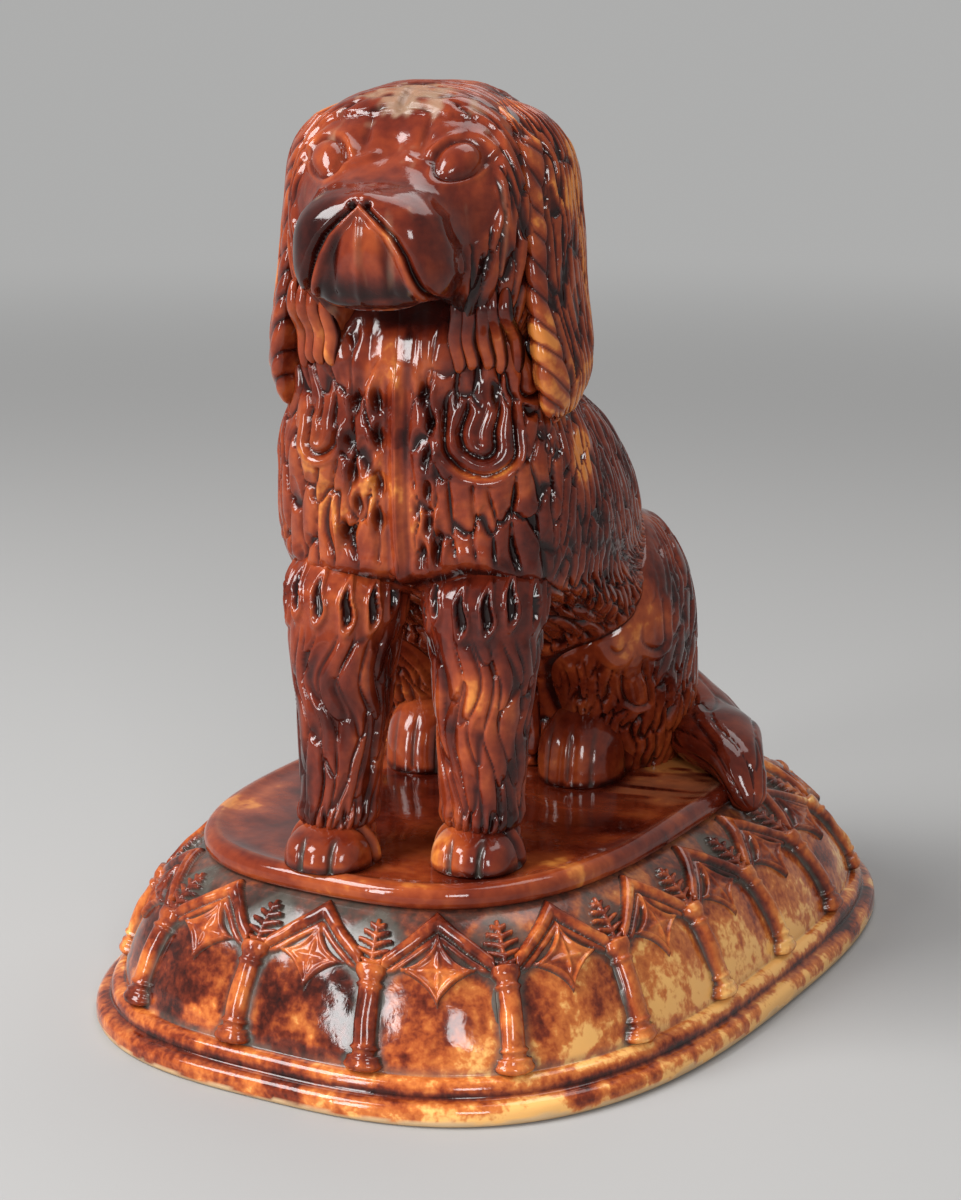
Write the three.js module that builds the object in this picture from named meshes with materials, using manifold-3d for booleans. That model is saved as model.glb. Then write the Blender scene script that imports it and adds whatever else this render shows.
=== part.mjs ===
// Glazed pottery spaniel seated on an arcaded plinth, made of pressed sections luted together.
// Millimetres, +Z up. The origin is the middle of the foot's underside, the plinth is long along Y,
// and the dog looks towards -Y, turned a little on its platform.

import * as THREE from 'three';
import { mergeVertices } from 'three/addons/utils/BufferGeometryUtils.js';
import Module from 'manifold-3d';

const wasm = await Module();
wasm.setup();

// Gap left at every luted joint
const JOINT = 0.3;

// Plinth: foot, ledge and wall
const FOOT_LENGTH = 280;
const FOOT_WIDTH = 198;
const PLAN_POWER = 2.87;
const FOOT_BAND_HEIGHT = 6.5;
const FOOT_BAND_ROUND = 1.6;
const LEDGE_HEIGHT = 11.5;
const LEDGE_INSET = 8;
const GROOVE_PER_ROUND = 1.5;
const FILLET_SHARE = 0.6;
const WALL_CURVE_POWER = 1.45;
const WALL_THICKNESS = 7;

// Plinth: platform
const PLATFORM_LENGTH = 195;
const PLATFORM_WIDTH = 134;
const PLATFORM_FORWARD = 12;
const PLATFORM_TOP = 56;
const PLATFORM_THICKNESS = 6.7;
const RIM_ROUND = 2.6;
const RIM_UNDER_SHARE = 0.6;
const RIM_SHOULDER_SHARE = 0.3;
const RIM_OVERHANG = 2;
const VENT_RADIUS = 15;

// Arcade pressed onto the wall; heights are shares of the wall's slant, widths are at the ledge
const BAYS = 18;
const ARCADE_SHIFT = 0.68;
const RELIEF_SEAT = 0.7;
const RELIEF_CREST = 0.55;
const COLUMN_START = 0.015;
const COLUMN_FOOT = 0.1;
const COLUMN_STEP = 0.05;
const SHAFT_HALF = 3;
const SHAFT_RISE = 3.2;
const CAPITAL_HALF = 4.5;
const CAPITAL_RISE = 4.2;
const CAPITAL_AT = 0.64;
const FINIAL_HALF = 4.6;
const FINIAL_RISE = 2;
const FINIAL_TOP = 0.93;
const FINIAL_TIERS = 3;
const LEAF_START = 0.25;
const LEAF_SHARE = 0.6;
const STEM_SHARE = 0.35;
const HOOD_HALF = 1.8;
const HOOD_RISE = 2.6;
const HOOD_APEX = 0.92;
const HOOD_SPRING = 0.69;
const HOOD_FOOT_GAP = 0.6;
const HOOD_CURVE_POWER = 1.15;
const STAR_HALF_WIDTH = 13.5;
const STAR_HALF_HEIGHT = 9.5;
const STAR_WAIST = 4;
const STAR_RISE = 2;

// Dog: crown above the platform for each length of the platform, turn, sideways place and shell
const DOG_PER_PLATFORM = 1.1015;
const DOG_TURN = 12;
const DOG_ASIDE = -3;
const SHELL = 7;

// Body, as level ovals: height above the platform, chest or belly, back, half width
const BODY_POWER = 2.6;
const BODY_TAPER = 0.12;
const BODY = [
  { at: 0, front: 10, back: 66, half: 38 },
  { at: 25, front: 2, back: 72, half: 42 },
  { at: 45, front: -18, back: 71, half: 45 },
  { at: 62, front: -48, back: 64, half: 45 },
  { at: 76, front: -82, back: 55, half: 45.3 },
  { at: 84, front: -90, back: 48, half: 45.6 },
  { at: 100, front: -93.6, back: 34, half: 45.4 },
  { at: 116, front: -94.4, back: 9, half: 42 },
  { at: 130, front: -93.6, back: -17, half: 36.2 },
  { at: 146, front: -93, back: -37, half: 33 },
];

// Hanging locks raised on the body in staggered rows: rise and length; how many run from breast to back;
// shares of a lock's length up to its fullest part and on to its middle, of its rise left at its root, and of
// the way from breast to back that stays plain beside each seam
const LOCK = { rise: 2, long: 27 };
const LOCKS_PER_SIDE = 8;
const LOCK_END_SHARE = 0.16;
const LOCK_MIDDLE_SHARE = 0.55;
const LOCK_ROOT_SHARE = 0.3;
const LOCK_PLAIN_SHARE = 0.08;

// Head, as upright ovals from the nape forward: reach, crown, jaw (above the platform), half width
const HEAD_PLACE = { behind: -74, aside: 2.5 };
const HEAD_TURN = 0.5;
const HEAD_POWER = 2.6;
const HEAD = [
  { at: -38, crown: 186, jaw: 160, half: 7 },
  { at: -35, crown: 201, jaw: 147, half: 18 },
  { at: -27, crown: 210.5, jaw: 141, half: 27 },
  { at: -14, crown: 214.6, jaw: 140, half: 33 },
  { at: 0, crown: 214.8, jaw: 138, half: 35 },
  { at: 14, crown: 212.5, jaw: 142, half: 34 },
  { at: 23, crown: 205, jaw: 152, half: 30 },
  { at: 30, crown: 197.5, jaw: 157, half: 25.5 },
  { at: 38, crown: 193, jaw: 158, half: 22.5 },
  { at: 46, crown: 190.5, jaw: 159, half: 19.5 },
  { at: 51, crown: 187.5, jaw: 163, half: 14.5 },
  { at: 53.5, crown: 182, jaw: 171, half: 5.5 },
];

// Ears, as level ovals: height, distance out, reach forward, half thickness, half breadth
const EAR_POWER = 2.3;
const EAR = [
  { at: 126, out: 37.5, fore: 2, thick: 1.5, broad: 3 },
  { at: 128.5, out: 38, fore: 1.5, thick: 4, broad: 8.5 },
  { at: 140, out: 38.3, fore: -1, thick: 6.8, broad: 16 },
  { at: 160, out: 35.5, fore: -2.5, thick: 7.2, broad: 18.5 },
  { at: 181, out: 33.6, fore: -4.5, thick: 7.3, broad: 19 },
  { at: 197, out: 31, fore: -4, thick: 7, broad: 17 },
  { at: 206, out: 26, fore: -2, thick: 5, broad: 11 },
  { at: 208.5, out: 23, fore: -2, thick: 1.5, broad: 4 },
];

// Forelegs: the right one stands a step ahead of the left one
const STANCE = { out: 20, chest: 75, right: 90, left: 80 };
const LEG = [
  { at: 5, half: 10 },
  { at: 36, half: 12.7 },
  { at: 66, half: 16.2 },
  { at: 82, half: 17 },
  { at: 93, half: 12 },
  { at: 98, half: 3 },
];

// Paws: height, half width, length from heel to toe, toe's reach forward and distance out
const FOREPAW = { tall: 12, half: 13, long: 30, toe: 17, out: STANCE.out };
const HIND_PAW = { tall: 24, half: 14, long: 44, toe: 9, out: 25 };
const PAW_POWER = 2.4;
const PAW_BLUNTNESS = 0.8;
const PAW_END_STEP = 0.6;

// Haunches, as level ovals: height, distance out, half breadth out, middle behind, half length
const HAUNCH_POWER = 2.2;
const HAUNCH = [
  { at: 0, out: 31, half: 18, behind: 39, long: 24 },
  { at: 22, out: 31, half: 23, behind: 31, long: 31 },
  { at: 45, out: 31, half: 25, behind: 20, long: 36 },
  { at: 65, out: 31, half: 22, behind: 17, long: 31 },
  { at: 78, out: 30, half: 14, behind: 19, long: 20 },
  { at: 83, out: 29, half: 4, behind: 19, long: 5 },
];

// Tail: a broad flat brush laid round the left haunch, its tip hanging over the platform's rim
const TAIL_ROUTE = [
  { out: 18, behind: 65, at: 20, half: 9, tall: 9 },
  { out: 38, behind: 60, at: 15, half: 10.5, tall: 9 },
  { out: 53, behind: 44, at: 9.5, half: 12.5, tall: 8.5 },
  { out: 64.5, behind: 27, at: 8, half: 12.5, tall: 7.5 },
  { out: 73, behind: 15, at: 4.5, half: 8, tall: 6 },
  { out: 78, behind: 9, at: -5, half: 4.5, tall: 4 },
];

// The dog's measures above are drawn at one height, and all of them follow the height wanted
const drawnHeight = Math.max(...HEAD.map((station) => station.crown));
const dogScale = (DOG_PER_PLATFORM * PLATFORM_LENGTH) / drawnHeight;
const places = [LOCK, HEAD_PLACE, STANCE, FOREPAW, HIND_PAW];
for (const row of [...BODY, ...HEAD, ...EAR, ...LEG, ...HAUNCH, ...TAIL_ROUTE, ...places]) {
  for (const key of Object.keys(row)) row[key] *= dogScale;
}
const neckHeight = BODY[BODY.length - 1].at;
const legTop = LEG[LEG.length - 1].at;

// Number of facets
const WALL_STEPS = 6;
const FACETS_PER_BAY = 4;
const BODY_SIDES = 64;
const HEAD_SIDES = 24;
const HEAD_RINGS = 14;
const LIMB_SIDES = 16;
const LIMB_RINGS = 9;
const ROUND_RINGS = 11;
const TAIL_SIDES = 12;
const TAIL_RINGS = 12;
const HOOD_STEPS = 4;
const STAR_CORNERS = 8;
const LEDGE_SAMPLES = 1440;

// Points closer together than this are one
const WELD = 1e-4;

// Glaze colours
const BROWN = new THREE.MeshStandardMaterial({ color: 0x5a2412, roughness: 0.16, metalness: 0 });
const AMBER = new THREE.MeshStandardMaterial({ color: 0xa8561c, roughness: 0.18, metalness: 0 });
const DARK = new THREE.MeshStandardMaterial({ color: 0x35130b, roughness: 0.12, metalness: 0 });

// A value of the stations at t, on a cubic whose slopes come from the neighbouring stations
function through(stations, key, t) {
  const last = stations.length - 1;
  let i = 0;
  while (i < last - 1 && t > stations[i + 1].at) i += 1;
  const slope = (j) => {
    const before = stations[Math.max(j - 1, 0)];
    const after = stations[Math.min(j + 1, last)];
    return (after[key] - before[key]) / (after.at - before.at);
  };
  const here = stations[i];
  const next = stations[i + 1];
  const span = next.at - here.at;
  const x = THREE.MathUtils.clamp((t - here.at) / span, 0, 1);
  const rise = next[key] - here[key];
  const a = slope(i) * span - rise;
  const b = rise - slope(i + 1) * span;
  return here[key] + rise * x + x * (1 - x) * (a * (1 - x) + b * x);
}

// Point of a unit superellipse in a direction
function ovalDirection(angle, power) {
  const c = Math.cos(angle);
  const s = Math.sin(angle);
  const reach = (Math.abs(c) ** power + Math.abs(s) ** power) ** (-1 / power);
  return [c * reach, s * reach];
}

// A ring of points: place(c, s) gives the point for each direction of the oval
function ring(sides, power, place) {
  return Array.from({ length: sides }, (_, i) => {
    const [c, s] = ovalDirection((i / sides) * 2 * Math.PI, power);
    return place(c, s);
  });
}

// Closed skin over a row of rings, with a fan at each end from a given tip or from the ring's middle
function skin(rings, tips = []) {
  const sides = rings[0].length;
  const points = rings.flat().map((p) => new THREE.Vector3(...p));
  const faces = [];
  for (let r = 0; r < rings.length - 1; r += 1) {
    const low = r * sides;
    const high = low + sides;
    for (let i = 0; i < sides; i += 1) {
      const j = (i + 1) % sides;
      faces.push(low + i, low + j, high + j, low + i, high + j, high + i);
    }
  }
  const fan = (start, flip, tip) => {
    const middle = new THREE.Vector3();
    for (let i = 0; i < sides; i += 1) middle.addScaledVector(points[start + i], 1 / sides);
    const centre = points.push(tip ? new THREE.Vector3(...tip) : middle) - 1;
    for (let i = 0; i < sides; i += 1) {
      const j = (i + 1) % sides;
      if (flip) faces.push(centre, start + j, start + i);
      else faces.push(centre, start + i, start + j);
    }
  };
  fan(0, true, tips[0]);
  fan((rings.length - 1) * sides, false, tips[1]);
  const geometry = new THREE.BufferGeometry().setFromPoints(points);
  geometry.setIndex(faces);
  return geometry;
}

// Solid of a closed geometry, turned the right way out if its rings ran the other way
function solid(geometry) {
  const bare = geometry.clone();
  bare.deleteAttribute('normal');
  bare.deleteAttribute('uv');
  const merged = mergeVertices(bare, WELD);
  const vertProperties = new Float32Array(merged.attributes.position.array);
  const triVerts = new Uint32Array(merged.index.array);
  const p = new THREE.Vector3();
  const q = new THREE.Vector3();
  const r = new THREE.Vector3();
  let volume = 0;
  for (let i = 0; i < triVerts.length; i += 3) {
    p.fromArray(vertProperties, triVerts[i] * 3);
    q.fromArray(vertProperties, triVerts[i + 1] * 3);
    r.fromArray(vertProperties, triVerts[i + 2] * 3);
    volume += p.dot(q.cross(r));
  }
  if (volume < 0) {
    for (let i = 0; i < triVerts.length; i += 3) {
      [triVerts[i], triVerts[i + 1]] = [triVerts[i + 1], triVerts[i]];
    }
  }
  return new wasm.Manifold(new wasm.Mesh({ numProp: 3, vertProperties, triVerts }));
}

// Named mesh of a solid
function piece(name, shape, material) {
  const { vertProperties, triVerts } = shape.getMesh();
  const geometry = new THREE.BufferGeometry();
  geometry.setAttribute('position', new THREE.BufferAttribute(vertProperties, 3));
  geometry.setIndex(new THREE.BufferAttribute(triVerts, 1));
  geometry.computeVertexNormals();
  const mesh = new THREE.Mesh(geometry, material);
  mesh.name = name;
  return mesh;
}

// Box reaching from one corner to the other
function block(low, high) {
  const size = high.map((h, i) => h - low[i]);
  const box = new THREE.BoxGeometry(...size);
  box.translate(...low.map((l, i) => l + size[i] / 2));
  return solid(box);
}

// Plinth outlines: half length, half width, middle along Y and height of each level
const platformUnder = PLATFORM_TOP - PLATFORM_THICKNESS;
const wallTop = platformUnder - JOINT;

function footLevel(inset, z) {
  return { long: FOOT_LENGTH / 2 - inset, wide: FOOT_WIDTH / 2 - inset, middle: 0, z };
}

function platformLevel(inset, z) {
  const long = PLATFORM_LENGTH / 2 - inset;
  const wide = PLATFORM_WIDTH / 2 - inset;
  return { long, wide, middle: -PLATFORM_FORWARD, z };
}

// Level of the wall at a share of its height: it stands steep on the ledge and rolls in to the platform
function wallLevel(share, inset = 0) {
  const low = footLevel(LEDGE_INSET + inset, LEDGE_HEIGHT);
  const high = platformLevel(RIM_OVERHANG + inset, wallTop);
  const rolled = Math.max(1 - share ** WALL_CURVE_POWER, 0);
  const drawn = 1 - rolled ** (1 / WALL_CURVE_POWER);
  return {
    long: THREE.MathUtils.lerp(low.long, high.long, drawn),
    wide: THREE.MathUtils.lerp(low.wide, high.wide, drawn),
    middle: THREE.MathUtils.lerp(low.middle, high.middle, drawn),
    z: THREE.MathUtils.lerp(low.z, high.z, share),
  };
}

function levelPoint(level, angle) {
  const c = Math.cos(angle) / level.wide;
  const s = Math.sin(angle) / level.long;
  const reach = (Math.abs(c) ** PLAN_POWER + Math.abs(s) ** PLAN_POWER) ** (-1 / PLAN_POWER);
  return [Math.cos(angle) * reach, level.middle + Math.sin(angle) * reach, level.z];
}

// Angles at even steps along the ledge, from the front (-Y) round by +X
const ledgeLengths = [0];
for (let i = 1; i <= LEDGE_SAMPLES; i += 1) {
  const angle = (j) => -Math.PI / 2 + (j / LEDGE_SAMPLES) * 2 * Math.PI;
  const a = levelPoint(wallLevel(0), angle(i - 1));
  const b = levelPoint(wallLevel(0), angle(i));
  ledgeLengths.push(ledgeLengths[i - 1] + Math.hypot(b[0] - a[0], b[1] - a[1]));
}
const ledgePerimeter = ledgeLengths[LEDGE_SAMPLES];

function ledgeAngle(share) {
  const turns = Math.floor(share);
  const target = (share - turns) * ledgePerimeter;
  let i = 0;
  while (ledgeLengths[i + 1] < target) i += 1;
  const part = (target - ledgeLengths[i]) / (ledgeLengths[i + 1] - ledgeLengths[i]);
  return -Math.PI / 2 + (turns + (i + part) / LEDGE_SAMPLES) * 2 * Math.PI;
}

// Facet angles: every column and every arch sits over the middle of a facet
const facetCount = BAYS * FACETS_PER_BAY;
const facetAngles = Array.from({ length: facetCount }, (_, i) => {
  return ledgeAngle((ARCADE_SHIFT + (i + 0.5) / FACETS_PER_BAY) / BAYS);
});

// Solid through a stack of plinth levels
function ovalStack(levels) {
  return solid(skin(levels.map((level) => facetAngles.map((angle) => levelPoint(level, angle)))));
}

// Outside of the skirt from the foot's underside up, grown by a gap where pieces are luted on to it
function skirtOutside(grow = 0) {
  const levels = [
    footLevel(FOOT_BAND_ROUND - grow, 0),
    footLevel(-grow, FOOT_BAND_ROUND),
    footLevel(-grow, FOOT_BAND_HEIGHT - FOOT_BAND_ROUND),
    footLevel(FOOT_BAND_ROUND * GROOVE_PER_ROUND - grow, FOOT_BAND_HEIGHT),
    footLevel(LEDGE_INSET * FILLET_SHARE - grow, LEDGE_HEIGHT - FOOT_BAND_ROUND),
  ];
  for (let i = 0; i <= WALL_STEPS; i += 1) {
    const level = wallLevel(i / WALL_STEPS, -grow);
    levels.push({ ...level, z: level.z + grow });
  }
  return ovalStack(levels);
}

// Hollow of the skirt, running out through the foot and through the wall's top
function skirtHollow() {
  const levels = [footLevel(LEDGE_INSET + WALL_THICKNESS, -WALL_THICKNESS)];
  for (let i = 0; i <= WALL_STEPS; i += 2) levels.push(wallLevel(i / WALL_STEPS, WALL_THICKNESS));
  const top = levels[levels.length - 1];
  levels.push({ ...top, z: top.z + WALL_THICKNESS });
  return ovalStack(levels);
}

// Slab of the platform, grown by a gap where a piece is luted on to it
function platformSlab(grow = 0) {
  const shoulder = RIM_ROUND * RIM_SHOULDER_SHARE;
  return ovalStack([
    platformLevel(RIM_ROUND - grow, platformUnder - grow),
    platformLevel(-grow, platformUnder + RIM_ROUND * RIM_UNDER_SHARE),
    platformLevel(-grow, PLATFORM_TOP - RIM_ROUND),
    platformLevel(shoulder - grow, PLATFORM_TOP - shoulder + grow),
    platformLevel(RIM_ROUND - grow, PLATFORM_TOP + grow),
  ]);
}

// Point over the wall: a distance along the ledge from a middle, a share of the height, and a lift
function wallPoint(middle, along, share, lift) {
  const at = (a, s) => {
    const angle = ledgeAngle(middle + a / ledgePerimeter);
    return new THREE.Vector3(...levelPoint(wallLevel(THREE.MathUtils.clamp(s, 0, 1)), angle));
  };
  const step = 0.01;
  const nudge = 1;
  const low = Math.min(Math.max(share - step, 0), 1 - 2 * step);
  const across = at(along + nudge, share).sub(at(along - nudge, share));
  const upward = at(along, low + 2 * step).sub(at(along, low));
  const outward = across.cross(upward).normalize();
  return at(along, share).addScaledVector(outward, lift).toArray();
}

// Moulded strip on the wall: each station has its place, half width and rise
function strip(middle, stations) {
  const slant = wallTop - LEDGE_HEIGHT;
  const rings = stations.map((here, i) => {
    const before = stations[Math.max(i - 1, 0)];
    const after = stations[Math.min(i + 1, stations.length - 1)];
    const run = after.along - before.along;
    const climb = (after.share - before.share) * slant;
    const length = Math.hypot(run, climb);
    const side = (offset, lift) => {
      const along = here.along + (offset * here.half * climb) / length;
      const share = here.share - (offset * here.half * run) / length / slant;
      return wallPoint(middle, along, share, lift);
    };
    const top = RELIEF_SEAT + here.rise;
    const foot = [side(-1, RELIEF_SEAT), side(1, RELIEF_SEAT)];
    return [...foot, side(RELIEF_CREST, top), side(-RELIEF_CREST, top)];
  });
  return solid(skin(rings));
}

// Column from the ledge up: ringed foot, shaft, capital, and a fir sprig of three tiers above it
function colonnette(middle) {
  const wide = { half: CAPITAL_HALF, rise: CAPITAL_RISE };
  const slim = { half: SHAFT_HALF, rise: SHAFT_RISE };
  const stations = [
    { share: COLUMN_START, ...wide },
    { share: COLUMN_FOOT, ...wide },
    { share: COLUMN_FOOT + COLUMN_STEP, ...slim },
    { share: (COLUMN_FOOT + CAPITAL_AT) / 2, ...slim },
    { share: CAPITAL_AT - COLUMN_STEP * 2, ...slim },
    { share: CAPITAL_AT - COLUMN_STEP, ...wide },
    { share: CAPITAL_AT, ...wide },
  ];
  const tier = (FINIAL_TOP - CAPITAL_AT) / FINIAL_TIERS;
  for (let i = 0; i < FINIAL_TIERS; i += 1) {
    const low = CAPITAL_AT + tier * (i + LEAF_START);
    const half = FINIAL_HALF * (1 - i / (FINIAL_TIERS + 1));
    stations.push({ share: low, half, rise: FINIAL_RISE });
    stations.push({ share: low + tier * LEAF_SHARE, half: half * STEM_SHARE, rise: FINIAL_RISE });
  }
  return strip(middle, stations.map((station) => ({ along: 0, ...station })));
}

// Pointed hood from capital to capital, with a four-pointed star under its apex
function archHood(middle) {
  const reach = ledgePerimeter / BAYS / 2 - CAPITAL_HALF - HOOD_HALF - HOOD_FOOT_GAP;
  const stations = [];
  for (let i = -HOOD_STEPS; i <= HOOD_STEPS; i += 1) {
    const fall = (Math.abs(i) / HOOD_STEPS) ** HOOD_CURVE_POWER;
    const share = THREE.MathUtils.lerp(HOOD_APEX, HOOD_SPRING, fall);
    stations.push({ along: (i / HOOD_STEPS) * reach, share, half: HOOD_HALF, rise: HOOD_RISE });
  }
  const slant = wallTop - LEDGE_HEIGHT;
  const centre = HOOD_APEX - STAR_HALF_HEIGHT / slant;
  const starRing = (lift) => Array.from({ length: STAR_CORNERS }, (_, i) => {
    const angle = (i / STAR_CORNERS) * 2 * Math.PI;
    const wide = i % 2 === 0 ? STAR_HALF_WIDTH : STAR_WAIST;
    const tall = i % 2 === 0 ? STAR_HALF_HEIGHT : STAR_WAIST;
    return wallPoint(middle, wide * Math.cos(angle), centre + (tall * Math.sin(angle)) / slant, lift);
  });
  const starEdge = RELIEF_SEAT + STAR_RISE / 2;
  const starTips = [RELIEF_SEAT, RELIEF_SEAT + STAR_RISE].map((lift) => wallPoint(middle, 0, centre, lift));
  const star = solid(skin([starRing(RELIEF_SEAT), starRing(starEdge)], starTips));
  return strip(middle, stations).add(star);
}

// How far the locks stand out of the body in a direction of its oval at a height
function lockLift(c, s, at) {
  const fromBreast = Math.atan2(Math.abs(c), -s) / Math.PI;
  const row = Math.floor(at / LOCK.long);
  const across = fromBreast * LOCKS_PER_SIDE + row / 2;
  const fromMiddle = 2 * (across - Math.floor(across)) - 1;
  const hang = at / LOCK.long - row;
  const upToEnd = hang / LOCK_END_SHARE;
  const downFromRoot = (1 - hang) / (1 - LOCK_END_SHARE);
  const fullness = THREE.MathUtils.lerp(LOCK_ROOT_SHARE, 1, Math.min(upToEnd, downFromRoot));
  const fromSeam = Math.min(fromBreast, 1 - fromBreast) / LOCK_PLAIN_SHARE;
  return LOCK.rise * fullness * (1 - fromMiddle ** 2) * Math.min(fromSeam, 1);
}

// Level ovals of the body between two heights, drawn in by an inset; its outside carries the locks
function bodyRings(inset, low, high, combed) {
  const rows = Array.from({ length: Math.ceil(neckHeight / LOCK.long) }, (_, row) => row);
  const levels = rows.flatMap((row) => {
    return [0, LOCK_END_SHARE, LOCK_MIDDLE_SHARE].map((share) => (row + share) * LOCK.long);
  });
  const heights = [low, ...levels.filter((at) => at > low && at < high), high];
  return heights.map((at) => {
    const front = through(BODY, 'front', at) + inset;
    const back = through(BODY, 'back', at) - inset;
    const half = through(BODY, 'half', at) - inset;
    const middle = (front + back) / 2;
    const long = (back - front) / 2;
    const z = PLATFORM_TOP + at;
    return ring(BODY_SIDES, BODY_POWER, (c, s) => {
      const lift = combed ? lockLift(c, s, at) : 0;
      return [(half + lift) * c * (1 - BODY_TAPER * s), middle + (long + lift) * s, z];
    });
  });
}

// Head ovals run from nape to nose, drawn in by an inset, in the head's own turned frame
function headRings(inset) {
  const nape = HEAD[0].at + inset;
  const nose = HEAD[HEAD.length - 1].at - inset;
  return Array.from({ length: HEAD_RINGS }, (_, i) => {
    const share = (1 - Math.cos((i / (HEAD_RINGS - 1)) * Math.PI)) / 2;
    const at = THREE.MathUtils.lerp(HEAD[0].at, HEAD[HEAD.length - 1].at, share);
    const fore = THREE.MathUtils.lerp(nape, nose, share);
    const least = 1;
    const half = Math.max(through(HEAD, 'half', at) - inset, least);
    const crown = through(HEAD, 'crown', at);
    const jaw = through(HEAD, 'jaw', at);
    const tall = Math.max((crown - jaw) / 2 - inset, least);
    const middle = PLATFORM_TOP + (crown + jaw) / 2;
    return ring(HEAD_SIDES, HEAD_POWER, (c, s) => [half * c, -fore, middle + tall * s]);
  });
}

// Turns a solid about Z and moves it
function placed(shape, turn, move) {
  return shape.rotate([0, 0, turn]).translate(move);
}

const headPlace = [HEAD_PLACE.aside, HEAD_PLACE.behind, 0];
const inHead = (shape) => placed(shape, -HEAD_TURN, headPlace);

function earShape(side, swell = 0) {
  const rings = Array.from({ length: ROUND_RINGS }, (_, i) => {
    const share = (1 - Math.cos((i / (ROUND_RINGS - 1)) * Math.PI)) / 2;
    const at = THREE.MathUtils.lerp(EAR[0].at, EAR[EAR.length - 1].at, share);
    const out = through(EAR, 'out', at);
    const fore = through(EAR, 'fore', at);
    const thick = through(EAR, 'thick', at) + swell;
    const broad = through(EAR, 'broad', at) + swell;
    const z = PLATFORM_TOP + at;
    return ring(LIMB_SIDES, EAR_POWER, (c, s) => [side * (out + thick * c), broad * s - fore, z]);
  });
  return inHead(solid(skin(rings)));
}

function legShape(side, forward, swell = 0) {
  const rings = Array.from({ length: LIMB_RINGS }, (_, i) => {
    const at = THREE.MathUtils.lerp(LEG[0].at, legTop, i / (LIMB_RINGS - 1));
    const half = through(LEG, 'half', at) + swell;
    const behind = -THREE.MathUtils.lerp(forward, STANCE.chest, at / legTop);
    const z = PLATFORM_TOP + at;
    return ring(LIMB_SIDES, 2, (c, s) => [side * STANCE.out + half * c, behind + half * s, z]);
  });
  return solid(skin(rings));
}

// Paw: a loaf with a flat sole, highest behind the toes
function pawShape(side, forward, paw) {
  const steps = LIMB_RINGS - 1 + 2 * PAW_END_STEP;
  const rings = Array.from({ length: LIMB_RINGS }, (_, i) => {
    const share = (1 - Math.cos(((i + PAW_END_STEP) / steps) * Math.PI)) / 2;
    const fullness = Math.sqrt(1 - (2 * share - 1) ** 2) ** PAW_BLUNTNESS;
    const wide = paw.half * fullness;
    const high = paw.tall * fullness;
    const behind = share * paw.long - paw.toe - forward;
    const out = side * paw.out;
    return ring(LIMB_SIDES, PAW_POWER, (c, s) => [out + wide * c, behind, PLATFORM_TOP + high * s]);
  });
  return solid(skin(rings)).intersect(aboveFloor);
}

function haunchShape(side, swell = 0) {
  const top = HAUNCH[HAUNCH.length - 1].at;
  const rings = Array.from({ length: ROUND_RINGS }, (_, i) => {
    const at = top * Math.sin((i / (ROUND_RINGS - 1)) * (Math.PI / 2));
    const out = through(HAUNCH, 'out', at);
    const half = through(HAUNCH, 'half', at) + swell;
    const middle = through(HAUNCH, 'behind', at);
    const long = through(HAUNCH, 'long', at) + swell;
    const z = PLATFORM_TOP + (i === 0 ? -JOINT : at + swell);
    return ring(LIMB_SIDES, HAUNCH_POWER, (c, s) => [side * out + half * c, middle + long * s, z]);
  });
  return solid(skin(rings));
}

// Tail along a smooth curve through its route, as ovals that lie flat
function tailShape(swell = 0) {
  const place = ({ out, behind, at }) => new THREE.Vector3(out, behind, PLATFORM_TOP + at);
  const breadth = ({ half, tall }) => new THREE.Vector3(half + swell, tall + swell, 0);
  const curve = new THREE.CatmullRomCurve3(TAIL_ROUTE.map(place));
  const sizes = new THREE.CatmullRomCurve3(TAIL_ROUTE.map(breadth));
  const rings = Array.from({ length: TAIL_RINGS }, (_, i) => {
    const share = i / (TAIL_RINGS - 1);
    const centre = curve.getPointAt(share);
    const ahead = curve.getTangentAt(share);
    const across = new THREE.Vector3(0, 0, 1).cross(ahead).normalize();
    const above = ahead.clone().cross(across);
    const size = sizes.getPoint(curve.getUtoTmapping(share));
    return ring(TAIL_SIDES, 2, (c, s) => {
      return centre.clone().addScaledVector(across, size.x * c).addScaledVector(above, size.y * s).toArray();
    });
  });
  return solid(skin(rings));
}

// Half spaces of the dog's own frame, wide enough for any piece of it
const FAR = FOOT_LENGTH + FOOT_WIDTH;
const aboveFloor = block([-FAR, -FAR, PLATFORM_TOP + JOINT], [FAR, FAR, PLATFORM_TOP + FAR]);
const leftOfSeam = block([JOINT / 2, -FAR, -FAR], [FAR, FAR, FAR]);
const rightOfSeam = block([-FAR, -FAR, -FAR], [-JOINT / 2, FAR, FAR]);
const aboveNeck = block([-FAR, -FAR, PLATFORM_TOP + neckHeight + JOINT], [FAR, FAR, FAR * 2]);

// Outer shapes with the joint gap added, which the pieces luted on to them are cut back by
const bodyGrown = solid(skin(bodyRings(-JOINT, -JOINT, neckHeight + JOINT, true)));
const headGrown = inHead(solid(skin(headRings(-JOINT))));
const dogTurned = (shape) => shape.translate([DOG_ASIDE, 0, 0]).rotate([0, 0, DOG_TURN]);
const plinthTurned = (shape) => shape.rotate([0, 0, -DOG_TURN]).translate([-DOG_ASIDE, 0, 0]);

const bodyShell = solid(skin(bodyRings(0, JOINT, neckHeight, true)))
  .subtract(solid(skin(bodyRings(SHELL, -SHELL, neckHeight + SHELL, false))));
const headShell = solid(skin(headRings(0))).subtract(solid(skin(headRings(SHELL))));

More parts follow.
